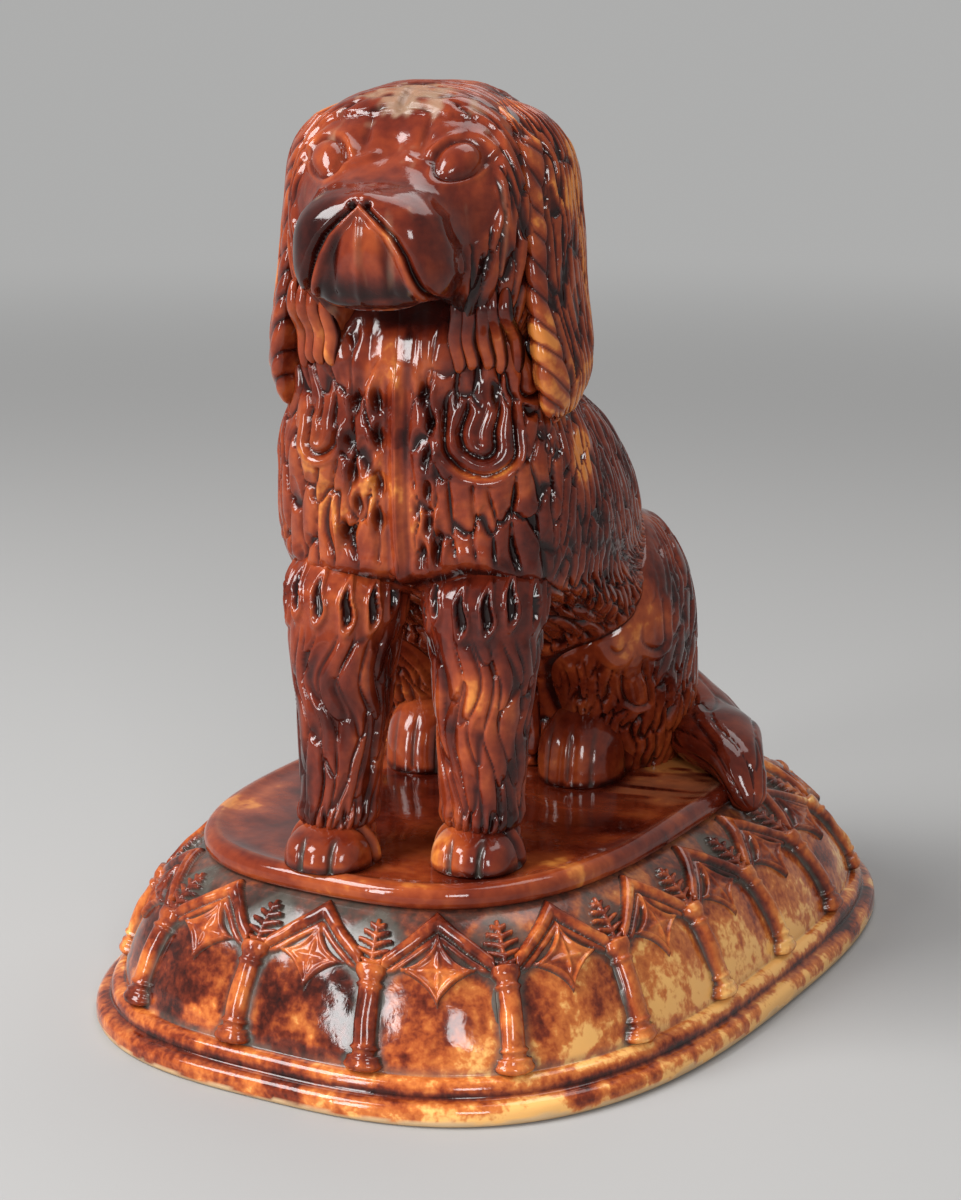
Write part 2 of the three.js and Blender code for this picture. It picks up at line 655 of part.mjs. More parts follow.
const skirt = skirtOutside().subtract(skirtHollow());
const skirtGrown = skirtOutside(JOINT);
const ventReach = PLATFORM_THICKNESS + 2 * WALL_THICKNESS;
const ventHole = new THREE.CylinderGeometry(VENT_RADIUS, VENT_RADIUS, ventReach, LIMB_SIDES);
ventHole.rotateX(Math.PI / 2);
ventHole.translate(0, (BODY[0].front + BODY[0].back) / 2, PLATFORM_TOP - PLATFORM_THICKNESS / 2);
const platform = platformSlab().subtract(dogTurned(solid(ventHole)));

const figure = new THREE.Group();

const plinth = new THREE.Group();
plinth.add(piece('base_skirt', skirt, AMBER));
plinth.add(piece('platform', platform, DARK));

const dog = new THREE.Group();
dog.rotation.z = THREE.MathUtils.degToRad(DOG_TURN);
dog.position.set(DOG_ASIDE, 0, 0).applyEuler(dog.rotation);
dog.add(piece('body_left_half', bodyShell.intersect(leftOfSeam), BROWN));
dog.add(piece('body_right_half', bodyShell.intersect(rightOfSeam), BROWN));
dog.add(piece('head_left_half', inHead(headShell.intersect(leftOfSeam)).intersect(aboveNeck), BROWN));
dog.add(piece('head_right_half', inHead(headShell.intersect(rightOfSeam)).intersect(aboveNeck), BROWN));

for (const [name, side] of [['left', 1], ['right', -1]]) {
  const forward = STANCE[name];
  const legGrown = legShape(side, forward, JOINT);
  const haunchGrown = haunchShape(side, JOINT);
  const ear = earShape(side).subtract(headGrown).subtract(bodyGrown);
  const leg = legShape(side, forward).intersect(aboveFloor).subtract(bodyGrown);
  const forepaw = pawShape(side, forward, FOREPAW);
  const haunch = haunchShape(side).intersect(aboveFloor).subtract(bodyGrown);
  const hindPaw = pawShape(side, 0, HIND_PAW);
  dog.add(piece(`ear_${name}`, ear, BROWN));
  dog.add(piece(`foreleg_${name}`, leg, BROWN));
  dog.add(piece(`forepaw_${name}`, forepaw.subtract(legGrown), BROWN));
  dog.add(piece(`haunch_${name}`, haunch, BROWN));
  dog.add(piece(`hind_paw_${name}`, hindPaw.subtract(haunchGrown).subtract(bodyGrown), BROWN));
}

const plinthGrown = platformSlab(JOINT).add(skirtGrown);
const tail = tailShape().subtract(haunchShape(1, JOINT)).subtract(bodyGrown)
  .subtract(plinthTurned(plinthGrown));
dog.add(piece('tail', tail, DARK));

const tailGrown = dogTurned(tailShape(JOINT));
for (let i = 0; i < BAYS; i += 1) {
  const number = String(i + 1).padStart(2, '0');
  const column = colonnette((i + ARCADE_SHIFT) / BAYS).subtract(skirtGrown).subtract(tailGrown);
  const hood = archHood((i + ARCADE_SHIFT + 0.5) / BAYS).subtract(skirtGrown).subtract(tailGrown);
  plinth.add(piece(`colonnette_${number}`, column, BROWN));
  plinth.add(piece(`arch_${number}`, hood, BROWN));
}

figure.add(plinth, dog);

export default figure;
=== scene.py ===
"""Glazed pottery spaniel seated on an arcaded plinth.

Every shape is a surface worked out from a few measures. Measures are in millimetres, and the meshes are
made in metres. The origin is the middle of the foot's underside and +Z is up.
"""

import math

import bpy
import numpy as np
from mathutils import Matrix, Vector


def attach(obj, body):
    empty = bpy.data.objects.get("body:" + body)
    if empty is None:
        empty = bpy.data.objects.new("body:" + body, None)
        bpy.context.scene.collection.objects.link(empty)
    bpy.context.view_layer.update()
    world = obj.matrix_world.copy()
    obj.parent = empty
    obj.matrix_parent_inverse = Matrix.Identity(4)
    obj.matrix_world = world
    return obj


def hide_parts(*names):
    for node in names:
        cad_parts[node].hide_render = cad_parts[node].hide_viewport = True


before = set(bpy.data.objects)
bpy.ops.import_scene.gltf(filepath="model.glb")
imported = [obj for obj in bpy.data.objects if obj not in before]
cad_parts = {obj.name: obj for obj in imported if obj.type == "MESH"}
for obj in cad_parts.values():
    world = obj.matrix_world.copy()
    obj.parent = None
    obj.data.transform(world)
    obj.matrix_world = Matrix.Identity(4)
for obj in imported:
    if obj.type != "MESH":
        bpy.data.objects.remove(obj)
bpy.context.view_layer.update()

MM = 0.001

# Plinth
FOOT_LENGTH, FOOT_WIDTH, PLAN_POWER = 280.0, 198.0, 2.87
LEDGE_HEIGHT, LEDGE_INSET = 11.5, 8.0
WALL_CURVE_POWER, WALL_THICKNESS = 1.45, 7.0
PLATFORM_LENGTH, PLATFORM_WIDTH, PLATFORM_FORWARD = 195.0, 134.0, 12.0
PLATFORM_TOP, PLATFORM_THICKNESS = 56.0, 6.7
RIM_OVERHANG = 2.0
WALL_TOP = PLATFORM_TOP - PLATFORM_THICKNESS
SLANT = WALL_TOP - LEDGE_HEIGHT

# Inset and height: foot band, fillet and ledge from the ground, then the platform's rim from its underside
FOOT_PROFILE = (
    (1.9, 0.0), (1.0, 0.25), (0.35, 0.8), (0.0, 1.7), (0.0, 2.6), (0.0, 3.5), (0.15, 4.4), (0.55, 5.3),
    (1.3, 6.0), (2.3, 6.45), (3.1, 6.55), (3.7, 6.75), (4.0, 7.3), (4.1, 8.0), (4.15, 8.7), (4.35, 9.5),
    (4.8, 10.3), (5.5, 10.95), (6.4, 11.3), (7.2, 11.42),
)
RIM_PROFILE = (
    (48.0, 0.0), (30.0, 0.0), (12.0, 0.0), (2.8, 0.0), (1.6, 0.15), (0.7, 0.7), (0.15, 1.5), (0.0, 2.4),
    (0.0, 3.4), (0.1, 4.3), (0.45, 5.2), (1.0, 5.9), (1.7, 6.4), (2.6, 6.68),
)
FIRST_TOP_INSET, LAST_TOP_INSET = 3.6, 66.0
FOOT_BAND_TOP, FOOT_GROOVE, FOOT_FILLET = (6.0, 7.2), 7.4, 11.0

# Arcade: heights are shares of the wall's height
BAYS, ARCADE_SHIFT = 18, 0.68
COLUMN_HALF, COLUMN_REACH = 6.4, (0.0, 0.955)
ARCH_INSET, ARCH_REACH = 3.6, (0.26, 0.985)
RELIEF_BED, RELIEF_EDGE = -1.6, -0.55
SHAFT_HALF, SHAFT_RISE, COLUMN_RINGS = 3.5, 2.9, ((0.045, 0.022), (0.16, 0.014), (0.56, 0.014))
SPRIG_START, SPRIG_TALL = 0.70, 9.0
SPRIG_BRANCHES = ((-0.4, 4.6), (1.5, 6.0), (3.5, 6.4), (5.4, 5.2), (7.1, 3.4))
HOOD_APEX, HOOD_SPRING, HOOD_INSET = 0.945, 0.70, 3.4
STAR_HALF, STAR_TALL, STAR_DROP, STAR_POWER = 13.4, 8.6, 10.4, 0.66

# Steps across and up over which the dust beside the relief is spread
DUST_REACH = (
    (0, 0), (1.3, 0), (-1.3, 0), (0, 0.03), (0, -0.03),
    (2.2, 0.02), (-2.2, 0.02), (2.2, -0.02), (-2.2, -0.02),
)

# Grids: rings, or rows, and points along each
SKIRT_AROUND, SKIRT_WALL_RINGS, SKIRT_INNER_RINGS = 736, 66, 12
PLATFORM_AROUND, PLATFORM_TOP_RINGS = 440, 84
COLUMN_GRID, ARCH_GRID = (108, 38), (78, 86)
BODY_GRID, HEAD_GRID, EAR_GRID, CHEEK_LOCK_GRID = (272, 312), (222, 322), (220, 226), (44, 14)
LEG_GRID, PAW_GRID, HAUNCH_GRID, TAIL_GRID = (250, 210), (100, 124), (190, 270), (200, 116)
BODY_END, HEAD_END, EAR_END, LEG_END, HAUNCH_END, TAIL_END = 6, 28, 14, 4, 6, 10
FINE_STEPS = 2001

# Dog
DOG_TURN, DOG_ASIDE = math.radians(12), -3.0
HEAD_TURN, HEAD_ASIDE, HEAD_BACK = math.radians(-0.5), 2.5, 74.0
BODY_POWER, BODY_TAPER = 2.6, 0.12
HEAD_POWER, EAR_POWER, PAW_POWER, HAUNCH_POWER = 2.6, 2.3, 2.4, 2.2


def table(names, rows):
    """Columns of a table of stations, by name."""
    return dict(zip(names.split(), np.array(rows, float).T))


# Stations: place along each piece, then the measures of its outline there
BODY = table("at front back half", [
    (0, 10, 66, 38), (25, 2, 72, 42), (45, -18, 71, 45), (62, -48, 64, 45), (76, -82, 55, 45.3),
    (84, -90, 48, 45.6), (100, -93.6, 34, 45.4), (116, -94.4, 9, 42), (130, -93.6, -17, 36.2),
    (146, -93, -37, 33), (155, -90, -38, 30), (160, -88, -38, 28),
])
HEAD = table("at crown jaw half", [
    (-38, 186, 160, 7), (-35, 201, 147, 18), (-27, 210.5, 141, 27), (-14, 214.6, 140, 33),
    (0, 214.8, 138, 35), (14, 212.5, 142, 34), (23, 205, 152, 30), (30, 197.5, 157, 25.5),
    (38, 193, 158, 22.5), (46, 190.5, 159, 19.5), (51, 187.5, 163, 14.5), (53.5, 182, 171, 5.5),
])
EAR = table("at out fore thick broad", [
    (126, 37.5, 2, 1.5, 3), (128.5, 38, 1.5, 4, 8.5), (140, 38.3, -1, 6.8, 16), (160, 35.5, -2.5, 7.2, 18.5),
    (181, 33.6, -4.5, 7.3, 19), (197, 31.2, -4, 7.4, 17), (206, 26.4, -2, 6, 12.5), (209, 22.5, -2, 4, 9),
    (211, 19.5, -2, 1.5, 4),
])
LEG = table("at half", [(0, 9.4), (5, 10), (36, 12.7), (66, 16.2), (82, 17), (93, 12), (98, 3)])
HAUNCH = table("at out half behind long", [
    (0, 31, 18, 39, 24), (22, 31, 23, 31, 31), (45, 31, 25, 20, 36), (65, 31, 22, 17, 31),
    (78, 30, 14, 19, 20), (83, 29, 4, 19, 5),
])

# Tail: points of its path in the dog's own place, then half its width and height there
TAIL = np.array([
    (18, 65, 20, 9, 9), (38, 60, 15, 10.5, 9), (53, 44, 9.5, 12.5, 8.5), (64.5, 27, 8, 12.5, 7.5),
    (73, 15, 4.5, 8, 6), (78, 9, -5, 4.5, 4),
], float)
TAIL_GIRTH, TAIL_LONG = 62.0, 105.0

# Width and length of the combed locks, and the height that they stand at on average
FLANK_LOCK, SWEPT_LOCK, CHEST_LOCK = (3.7, 20), (3.3, 23), (5.8, 20)
HEAD_LOCK, NAPE_LOCK, CHEEK_LOCK, EAR_LOCK = (3.2, 25), (4.4, 24), (3.3, 24), (2.6, 21)
LEG_LOCK, HAUNCH_LOCK, TAIL_LOCK = (4.8, 26), (4.4, 15), (7.0, 42)
LOCK_MEAN = 0.68

# Loops of hair: place across and down, reach and rise
BREAST_LOOPS = {1: ((24, 31, 13.0, 16), (40, 13, 7, 8)), -1: ((23, 33, 8.5, 10),)}
HAUNCH_LOOPS = ((56, 36, 8.0, 8), (68.5, 36, 7.5, 16), (67, 21, 5.0, 5), (60, 57, 6.0, 12))

# Locks under the cheeks, by place out from the middle, and the slopes of the hair on the flank
CHEEK_HAIR_OUT = {1: (15.6, 18.7, 22.6, 25.6, 29.2), -1: (20.4, 24.1, 27.0, 30.2)}
FORWARD_TILT, BACKWARD_TILT = math.radians(28), math.radians(-16)

# Face: places out from the middle and heights above the ground
HAIRLINE_HEIGHTS = (194, 205, 215, 225, 231, 236, 242, 254, 260, 263, 265)
HAIRLINE_OUT = (13, 16, 19, 22, 23.5, 27, 28.4, 27, 24, 19, 0)
FLEW_HEIGHTS, FLEW_OUT = (212, 217, 220.7, 225, 231, 240, 249), (16, 17.5, 19.4, 21.2, 21.3, 18.8, 11.8)
LIP_HEIGHTS, LIP_OUT = (212, 219, 224, 230, 235, 239, 243, 246), (18, 16.5, 14.6, 12.4, 9.5, 5.5, 0.8, -3)
EYE_OUT, EYE_HEIGHT, EYE_HALF, EYE_TALL = 18.4, 252.8, 5.2, 4.3
LIDS_OUT, LIDS_HALF, LIDS_TALL = 18.6, 6.6, 5.0
BROW_HEIGHT, FROWN_OUT, FROWN_HEIGHT = 260.0, 8.2, 259.5
NOSE_HEIGHT, NOSTRIL_OUT, NOSTRIL_HEIGHT = 244.6, 2.1, 242.8

# Body: main hanging locks, the hem of the breast and tooled pits by place across and down
LOCK_RISE, LOCK_LONG, LOCKS_PER_SIDE = 2.0, 27.0, 8
LOCK_END, LOCK_ROOT, LOCK_PLAIN = 0.16, 0.3, 0.08
HEM_HEIGHT, HEM_ARCH = 139.0, {1: 5.0, -1: 0.0}
TOOL_MARKS = {
    1: ((8, 15), (10, 24), (9, 46), (9, 56), (7, 65), (11.5, 63), (9, 35)),
    -1: ((5, 17), (4.5, 29), (4.5, 43.7), (5, 55), (11, 18), (13, 31), (11.5, 41), (10.5, 51), (15, 60)),
}

# Legs and paws
LEG_OUT, LEG_CHEST, LEG_TOP, LEG_MEAN = 20.0, 75.0, 98.0, 13.5
DROPS, DROP_HEIGHT, DROP_HALF, CUFF_HEIGHT, CUFF_NOTCHES = 14, 131.0, 5.3, 69.5, 6
LEG_FORWARD = {1: 80.0, -1: 90.0}
FOREPAW = {"tall": 12.0, "half": 13.0, "long": 30.0, "toe": 17.0, "out": 20.0, "firm": 1.0}
HIND_PAW = {"tall": 24.0, "half": 14.0, "long": 44.0, "toe": 9.0, "out": 25.0, "firm": 0.45}


# Numbers and patterns

def through(stations, key, t):
    """A cubic through the stations' values whose slope at each comes from its neighbours."""
    at, value = stations["at"], stations[key]
    t = np.asarray(t, float)
    slope = np.empty_like(value)
    slope[1:-1] = (value[2:] - value[:-2]) / (at[2:] - at[:-2])
    slope[0] = (value[1] - value[0]) / (at[1] - at[0])
    slope[-1] = (value[-1] - value[-2]) / (at[-1] - at[-2])
    i = np.searchsorted(at[1:-1], t)
    span = at[i + 1] - at[i]
    x = np.clip((t - at[i]) / span, 0, 1)
    rise = value[i + 1] - value[i]
    a = slope[i] * span - rise
    b = rise - slope[i + 1] * span
    return value[i] + rise * x + x * (1 - x) * (a * (1 - x) + b * x)


def oval(angle, power):
    """Point of a unit superellipse in a direction."""
    c, s = np.cos(angle), np.sin(angle)
    reach = (np.abs(c) ** power + np.abs(s) ** power) ** (-1 / power)
    return c * reach, s * reach


def ease(x, low, high):
    """Smooth step from 0 at low to 1 at high."""
    x = np.clip((x - low) / (high - low), 0, 1)
    return x * x * (3 - 2 * x)


def bell(x, width):
    """Bell curve of height 1."""
    return np.exp(-((x / width) ** 2))


def between(share, a, b):
    """Blend of two patterns by the second one's share."""
    return a * (1 - share) + b * share


def scatter(i, j, k, seed):
    """A repeatable number from 0 to 1 for each point of a lattice."""
    i, j, k = (np.asarray(v).astype(np.int64).astype(np.uint64) for v in (i, j, k))
    h = i * np.uint64(374761393) + j * np.uint64(668265263) + k * np.uint64(2246822519)
    h = h + np.uint64(seed * 974634121 + 12345)
    h = (h ^ (h >> np.uint64(13))) * np.uint64(1274126177)
    h = (h ^ (h >> np.uint64(16))) * np.uint64(2654435761)
    return ((h >> np.uint64(20)) & np.uint64(0xFFFFF)).astype(float) / float(0x100000)


def noise(x, y, z=0.0, seed=0):
    """Smooth noise from -1 to 1: lattice numbers blended over each cell. The seed tells patterns apart."""
    x, y, z = np.broadcast_arrays(np.asarray(x, float), np.asarray(y, float), np.asarray(z, float))
    i, j, k = np.floor(x), np.floor(y), np.floor(z)
    u, v, w = (f * f * (3 - 2 * f) for f in (x - i, y - j, z - k))
    total = np.zeros(x.shape)
    for a in (0, 1):
        for b in (0, 1):
            for c in (0, 1):
                share = (u if a else 1 - u) * (v if b else 1 - v) * (w if c else 1 - w)
                total += share * scatter(i + a, j + b, k + c, seed)
    return total * 2 - 1


def locks(across, down, width, length, seed, sway=0.5, bend=0.2):
    """Combed locks, as height from 0 to 1 and as incised line from 0 to 1. Each cell of a staggered lattice
    holds one bent lock with a rounded lower end; the highest lock at a point is the surface, rounded down to
    the line, which runs where two locks are about as high."""
    x, y = across / width, down / length
    x = x + sway * noise(x * 0.35, y * 1.1, 0, seed) + 0.35 * sway * noise(x * 1.1, y * 2.6, 3, seed + 5)
    best = np.full(x.shape, -1.0)
    second = best.copy()
    for dc in (-1, 0, 1):
        col = np.floor(x) + dc
        yy = y + scatter(col, 0 * col, 0 * col, seed)
        for dr in (-1, 0, 1):
            row = np.floor(yy) + dr
            r1, r2, r3, r4 = (scatter(col, row, 0 * col + n, seed + 1) for n in range(4))
            dx = x - (col + 0.5 + 0.3 * (r1 - 0.5))
            q = (yy - (row + 0.5 + 0.3 * (r2 - 0.5))) / (0.62 + 0.2 * r3)
            body = np.clip(1 - q * q, 0, 1)
            end = np.where(q > 0, np.clip(1 - q ** 6, 0, 1) ** 0.5, np.clip(1 + q, 0, 1) ** 0.35)
            side = (dx - bend * np.sin(2.4 * q + 6.28 * r4)) / (0.62 * end + 1e-6)
            back = np.sqrt(np.clip(1 - side * side, 0, 1))
            lift = back * body ** 0.15 * (0.6 + 0.25 * (q + 1) / 2 + 0.15 * r1)
            second = np.maximum(second, np.minimum(lift, best))
            best = np.maximum(best, lift)
    best, second = np.maximum(best, 0), np.maximum(second, 0)
    apart = best - second
    line = np.maximum(1 - ease(apart, 0.0, 1.25 / width), 1 - ease(best, 0.05, 0.3))
    height = 0.5 * best + 0.5 * (1 - (1 - np.clip(apart / 0.8, 0, 1)) ** 2)
    return height, line


def curl(s, t, s0, t0, radius, rise, step=5.2):
    """Hanging loops about a point: nested U shapes, as height, incised line and how far they rule there."""
    ds = s - s0 + 1.6 * noise(s / 9, t / 9, 0, 7)
    dt = t - t0 + 1.6 * noise(s / 9, t / 9, 0, 8)
    r = np.hypot(ds, np.maximum(dt, 0) * 0.9)
    wave = np.abs(np.sin(math.pi * (r / step + 0.2)))
    rule = (1 - ease(r, radius * 0.88, radius)) * (1 - ease(-dt, rise * 0.6, rise))
    return wave ** 0.7, 1 - ease(wave, 0.0, 0.42), rule


# Grids

def unit(v):
    """Vectors scaled to a length of 1."""
    return v / np.maximum(np.linalg.norm(v, axis=-1, keepdims=True), 1e-9)


def facing(points):
    """Outward unit normals of a grid of rings that close round."""
    across = np.roll(points, -1, 1) - np.roll(points, 1, 1)
    along = np.gradient(points, axis=0)
    n = unit(np.cross(across, along))
    out = points - points.mean(axis=1, keepdims=True)
    return n if (n * out).sum() > 0 else -n


def lengths(points, axis):
    """Distance run along a grid's rows or columns from its first line."""
    step = np.linalg.norm(np.diff(points, axis=axis), axis=2)
    run = np.cumsum(step, axis=axis)
    pad = [(0, 0), (0, 0)]
    pad[axis] = (1, 0)
    return np.pad(run, pad)


def even(places, heights, count):
    """Parameters that step evenly along a profile of several coordinates."""
    run = np.concatenate([[0], np.cumsum(np.linalg.norm(np.diff(heights, axis=0), axis=1))])
    return np.interp(np.linspace(0, run[-1], count), run, places)


def domed(points, count, bulge):
    """Rings added at both ends of a tube that close it with a low bowl of the given height."""
    k = np.maximum(1 - np.arange(1, count + 1) / count, 0.004)[:, None, None]
    ends = []
    for ring, inner, high in ((points[0], points[1], bulge[0]), (points[-1], points[-2], bulge[1])):
        middle = ring.mean(axis=0)
        axis = unit(middle - inner.mean(axis=0))
        ends.append(middle + (ring - middle) * k + axis * high * (1 - k * k))
    return np.concatenate([ends[0][::-1], points, ends[1]])


def turned(points, turn, aside, behind):
    """Points turned about Z and then moved."""
    c, s = math.cos(turn), math.sin(turn)
    x, y, z = points[..., 0], points[..., 1], points[..., 2]
    return np.stack([c * x - s * y + aside, s * x + c * y + behind, z], -1)


def in_head(points):
    """Points of the head, turned and set on the dog."""
    return turned(points, HEAD_TURN, HEAD_ASIDE, -HEAD_BACK)


def in_dog(points):
    """Points of the dog, turned and set on the platform."""
    c, s = math.cos(DOG_TURN), math.sin(DOG_TURN)
    return turned(points, DOG_TURN, c * DOG_ASIDE, s * DOG_ASIDE)


# The first mark holds glaze pooled in grooves and holes, and painted shade at creases, joints, under the hem,
# under the head and along the paws' soles.
MARKS = ("pooled_and_shade", "thin", "bare", "dust")


def add_to_scene(name, data):
    """A new object in the scene."""
    thing = bpy.data.objects.new(name, data)
    bpy.context.scene.collection.objects.link(thing)
    return thing


def carried(marks, count):
    """Marks of a tube's own rings, carried on over the rings that close its two ends."""
    return {word: np.pad(value, ((count, count), (0, 0)), "edge") for word, value in marks.items()}


def put(name, verts, quads, tris, marks, material, nodes):
    """A mesh piece that stands for some CAD nodes, with its glaze marks, painted shade among them, as point
    attributes.
    """
    verts = np.ascontiguousarray(verts, float) * MM
    a, b, c = verts[quads[:, 0]], verts[quads[:, 1]], verts[quads[:, 2]]
    d = verts[quads[:, 3]]
    volume = (a * np.cross(b, c)).sum() + (a * np.cross(c, d)).sum()
    if len(tris):
        volume += (verts[tris[:, 0]] * np.cross(verts[tris[:, 1]], verts[tris[:, 2]])).sum()
    if volume < 0:
        quads, tris = quads[:, ::-1], tris[:, ::-1]
    mesh = bpy.data.meshes.new(name)
    mesh.vertices.add(len(verts))
    mesh.vertices.foreach_set("co", verts.ravel())
    loops = np.concatenate([quads.ravel(), tris.ravel()]).astype(np.int32)
    mesh.loops.add(len(loops))
    mesh.loops.foreach_set("vertex_index", loops)
    starts = np.concatenate([np.arange(len(quads)) * 4, len(quads) * 4 + np.arange(len(tris)) * 3])
    mesh.polygons.add(len(starts))
    mesh.polygons.foreach_set("loop_start", starts.astype(np.int32))
    mesh.update(calc_edges=True)
    mesh.validate()
    mesh.shade_smooth()
    for mark in MARKS:
        values = np.zeros(len(verts), np.float32)
        if mark in marks:
            given = np.clip(np.asarray(marks[mark], float).ravel(), 0, 1)
            values[:len(given)] = given
        mesh.attributes.new(mark, "FLOAT", "POINT").data.foreach_set("value", values)
    mesh.materials.append(material)
    piece = add_to_scene(name, mesh)
    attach(piece, "root")
    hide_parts(*nodes)
    return piece


def tube(name, grids, marks, material, nodes):
    """A piece from one or more grids of rings that close round, with a fan at each end."""
    first = np.cumsum([0] + [g.shape[0] * g.shape[1] for g in grids])
    quads, tris, ends = [], [], []
    for start, g in zip(first, grids):
        rows, cols = g.shape[:2]
        i = start + np.arange(rows * cols).reshape(rows, cols)
        j = np.roll(i, -1, 1)
        quads.append(np.stack([i[:-1], j[:-1], j[1:], i[1:]], -1).reshape(-1, 4))
        top, foot = first[-1] + len(ends), first[-1] + len(ends) + 1
        tris.append(np.stack([np.full(cols, top), j[0], i[0]], -1))
        tris.append(np.stack([np.full(cols, foot), i[-1], j[-1]], -1))
        ends += [g[0].mean(0), g[-1].mean(0)]
    verts = np.concatenate([g.reshape(-1, 3) for g in grids] + [np.array(ends)])
    return put(name, verts, np.concatenate(quads), np.concatenate(tris), marks, material, nodes)


def loop(name, points, marks, material, nodes):
    """A piece from rings that close round and whose last ring joins the first, like a hollow collar."""
    rows, cols = points.shape[:2]
    i = np.arange(rows * cols).reshape(rows, cols)
    j = np.roll(i, -1, 1)
    quads = np.stack([i, j, np.roll(j, -1, 0), np.roll(i, -1, 0)], -1).reshape(-1, 4)
    return put(name, points.reshape(-1, 3), quads, np.zeros((0, 3), int), marks, material, nodes)


def slab(name, front, back, marks, material, nodes):
    """A piece from a front grid and the rim and middle of a back grid, joined round their edges."""
    rows, cols = front.shape[:2]
    i = np.arange(rows * cols).reshape(rows, cols)
    quads = np.stack([i[:-1, :-1], i[:-1, 1:], i[1:, 1:], i[1:, :-1]], -1).reshape(-1, 4)
    rim = np.concatenate([i[0, :], i[1:, -1], i[-1, -2::-1], i[-2:0:-1, 0]])
    ring = rows * cols + np.arange(len(rim))
    middle = np.full(len(rim), rows * cols + len(rim))
    after, ring_after = np.roll(rim, -1), np.roll(ring, -1)
    quads = np.concatenate([quads, np.stack([after, rim, ring, ring_after], -1)])
    tris = np.stack([ring_after, ring, middle], -1)
    behind = back.reshape(-1, 3)
    verts = np.concatenate([front.reshape(-1, 3), behind[rim], behind[i[rows // 2, cols // 2]][None]])
    return put(name, verts, quads, tris, marks, material, nodes)


# Glazes

def reckon(tree, operation, a, b):
    """A number that a node tree works out from two others, which are given or come from its nodes."""
    node = tree.nodes.new("ShaderNodeMath")
    node.operation = operation
    for socket, value in zip(node.inputs, (a, b)):
        if isinstance(value, (int, float)):
            socket.default_value = value
        else:
            tree.links.new(value, socket)
    return node.outputs[0]


# Colours of deep glaze (also used for painted shade at creases, joints and undersides), dust and bare clay,
# weights of the marks, and scales of the patterns
POOL_AND_SHADE, DUST, CLAY_PALE, CLAY_DEEP = (
    (0.008, 0.0015, 0.0012), (0.115, 0.108, 0.088), (0.66, 0.47, 0.27), (0.50, 0.31, 0.15),
)
BLOTCH_WEIGHT, THIN_WEIGHT, POOL_AND_SHADE_WEIGHT = 2.0, 0.55, 0.5
FLOW_SCALE, SPECK_SCALE, DUST_SCALE, CLAY_SCALE, HAZE_SCALE, PITTING_SCALE = 3.2, 13, 260, 120, 90, 330


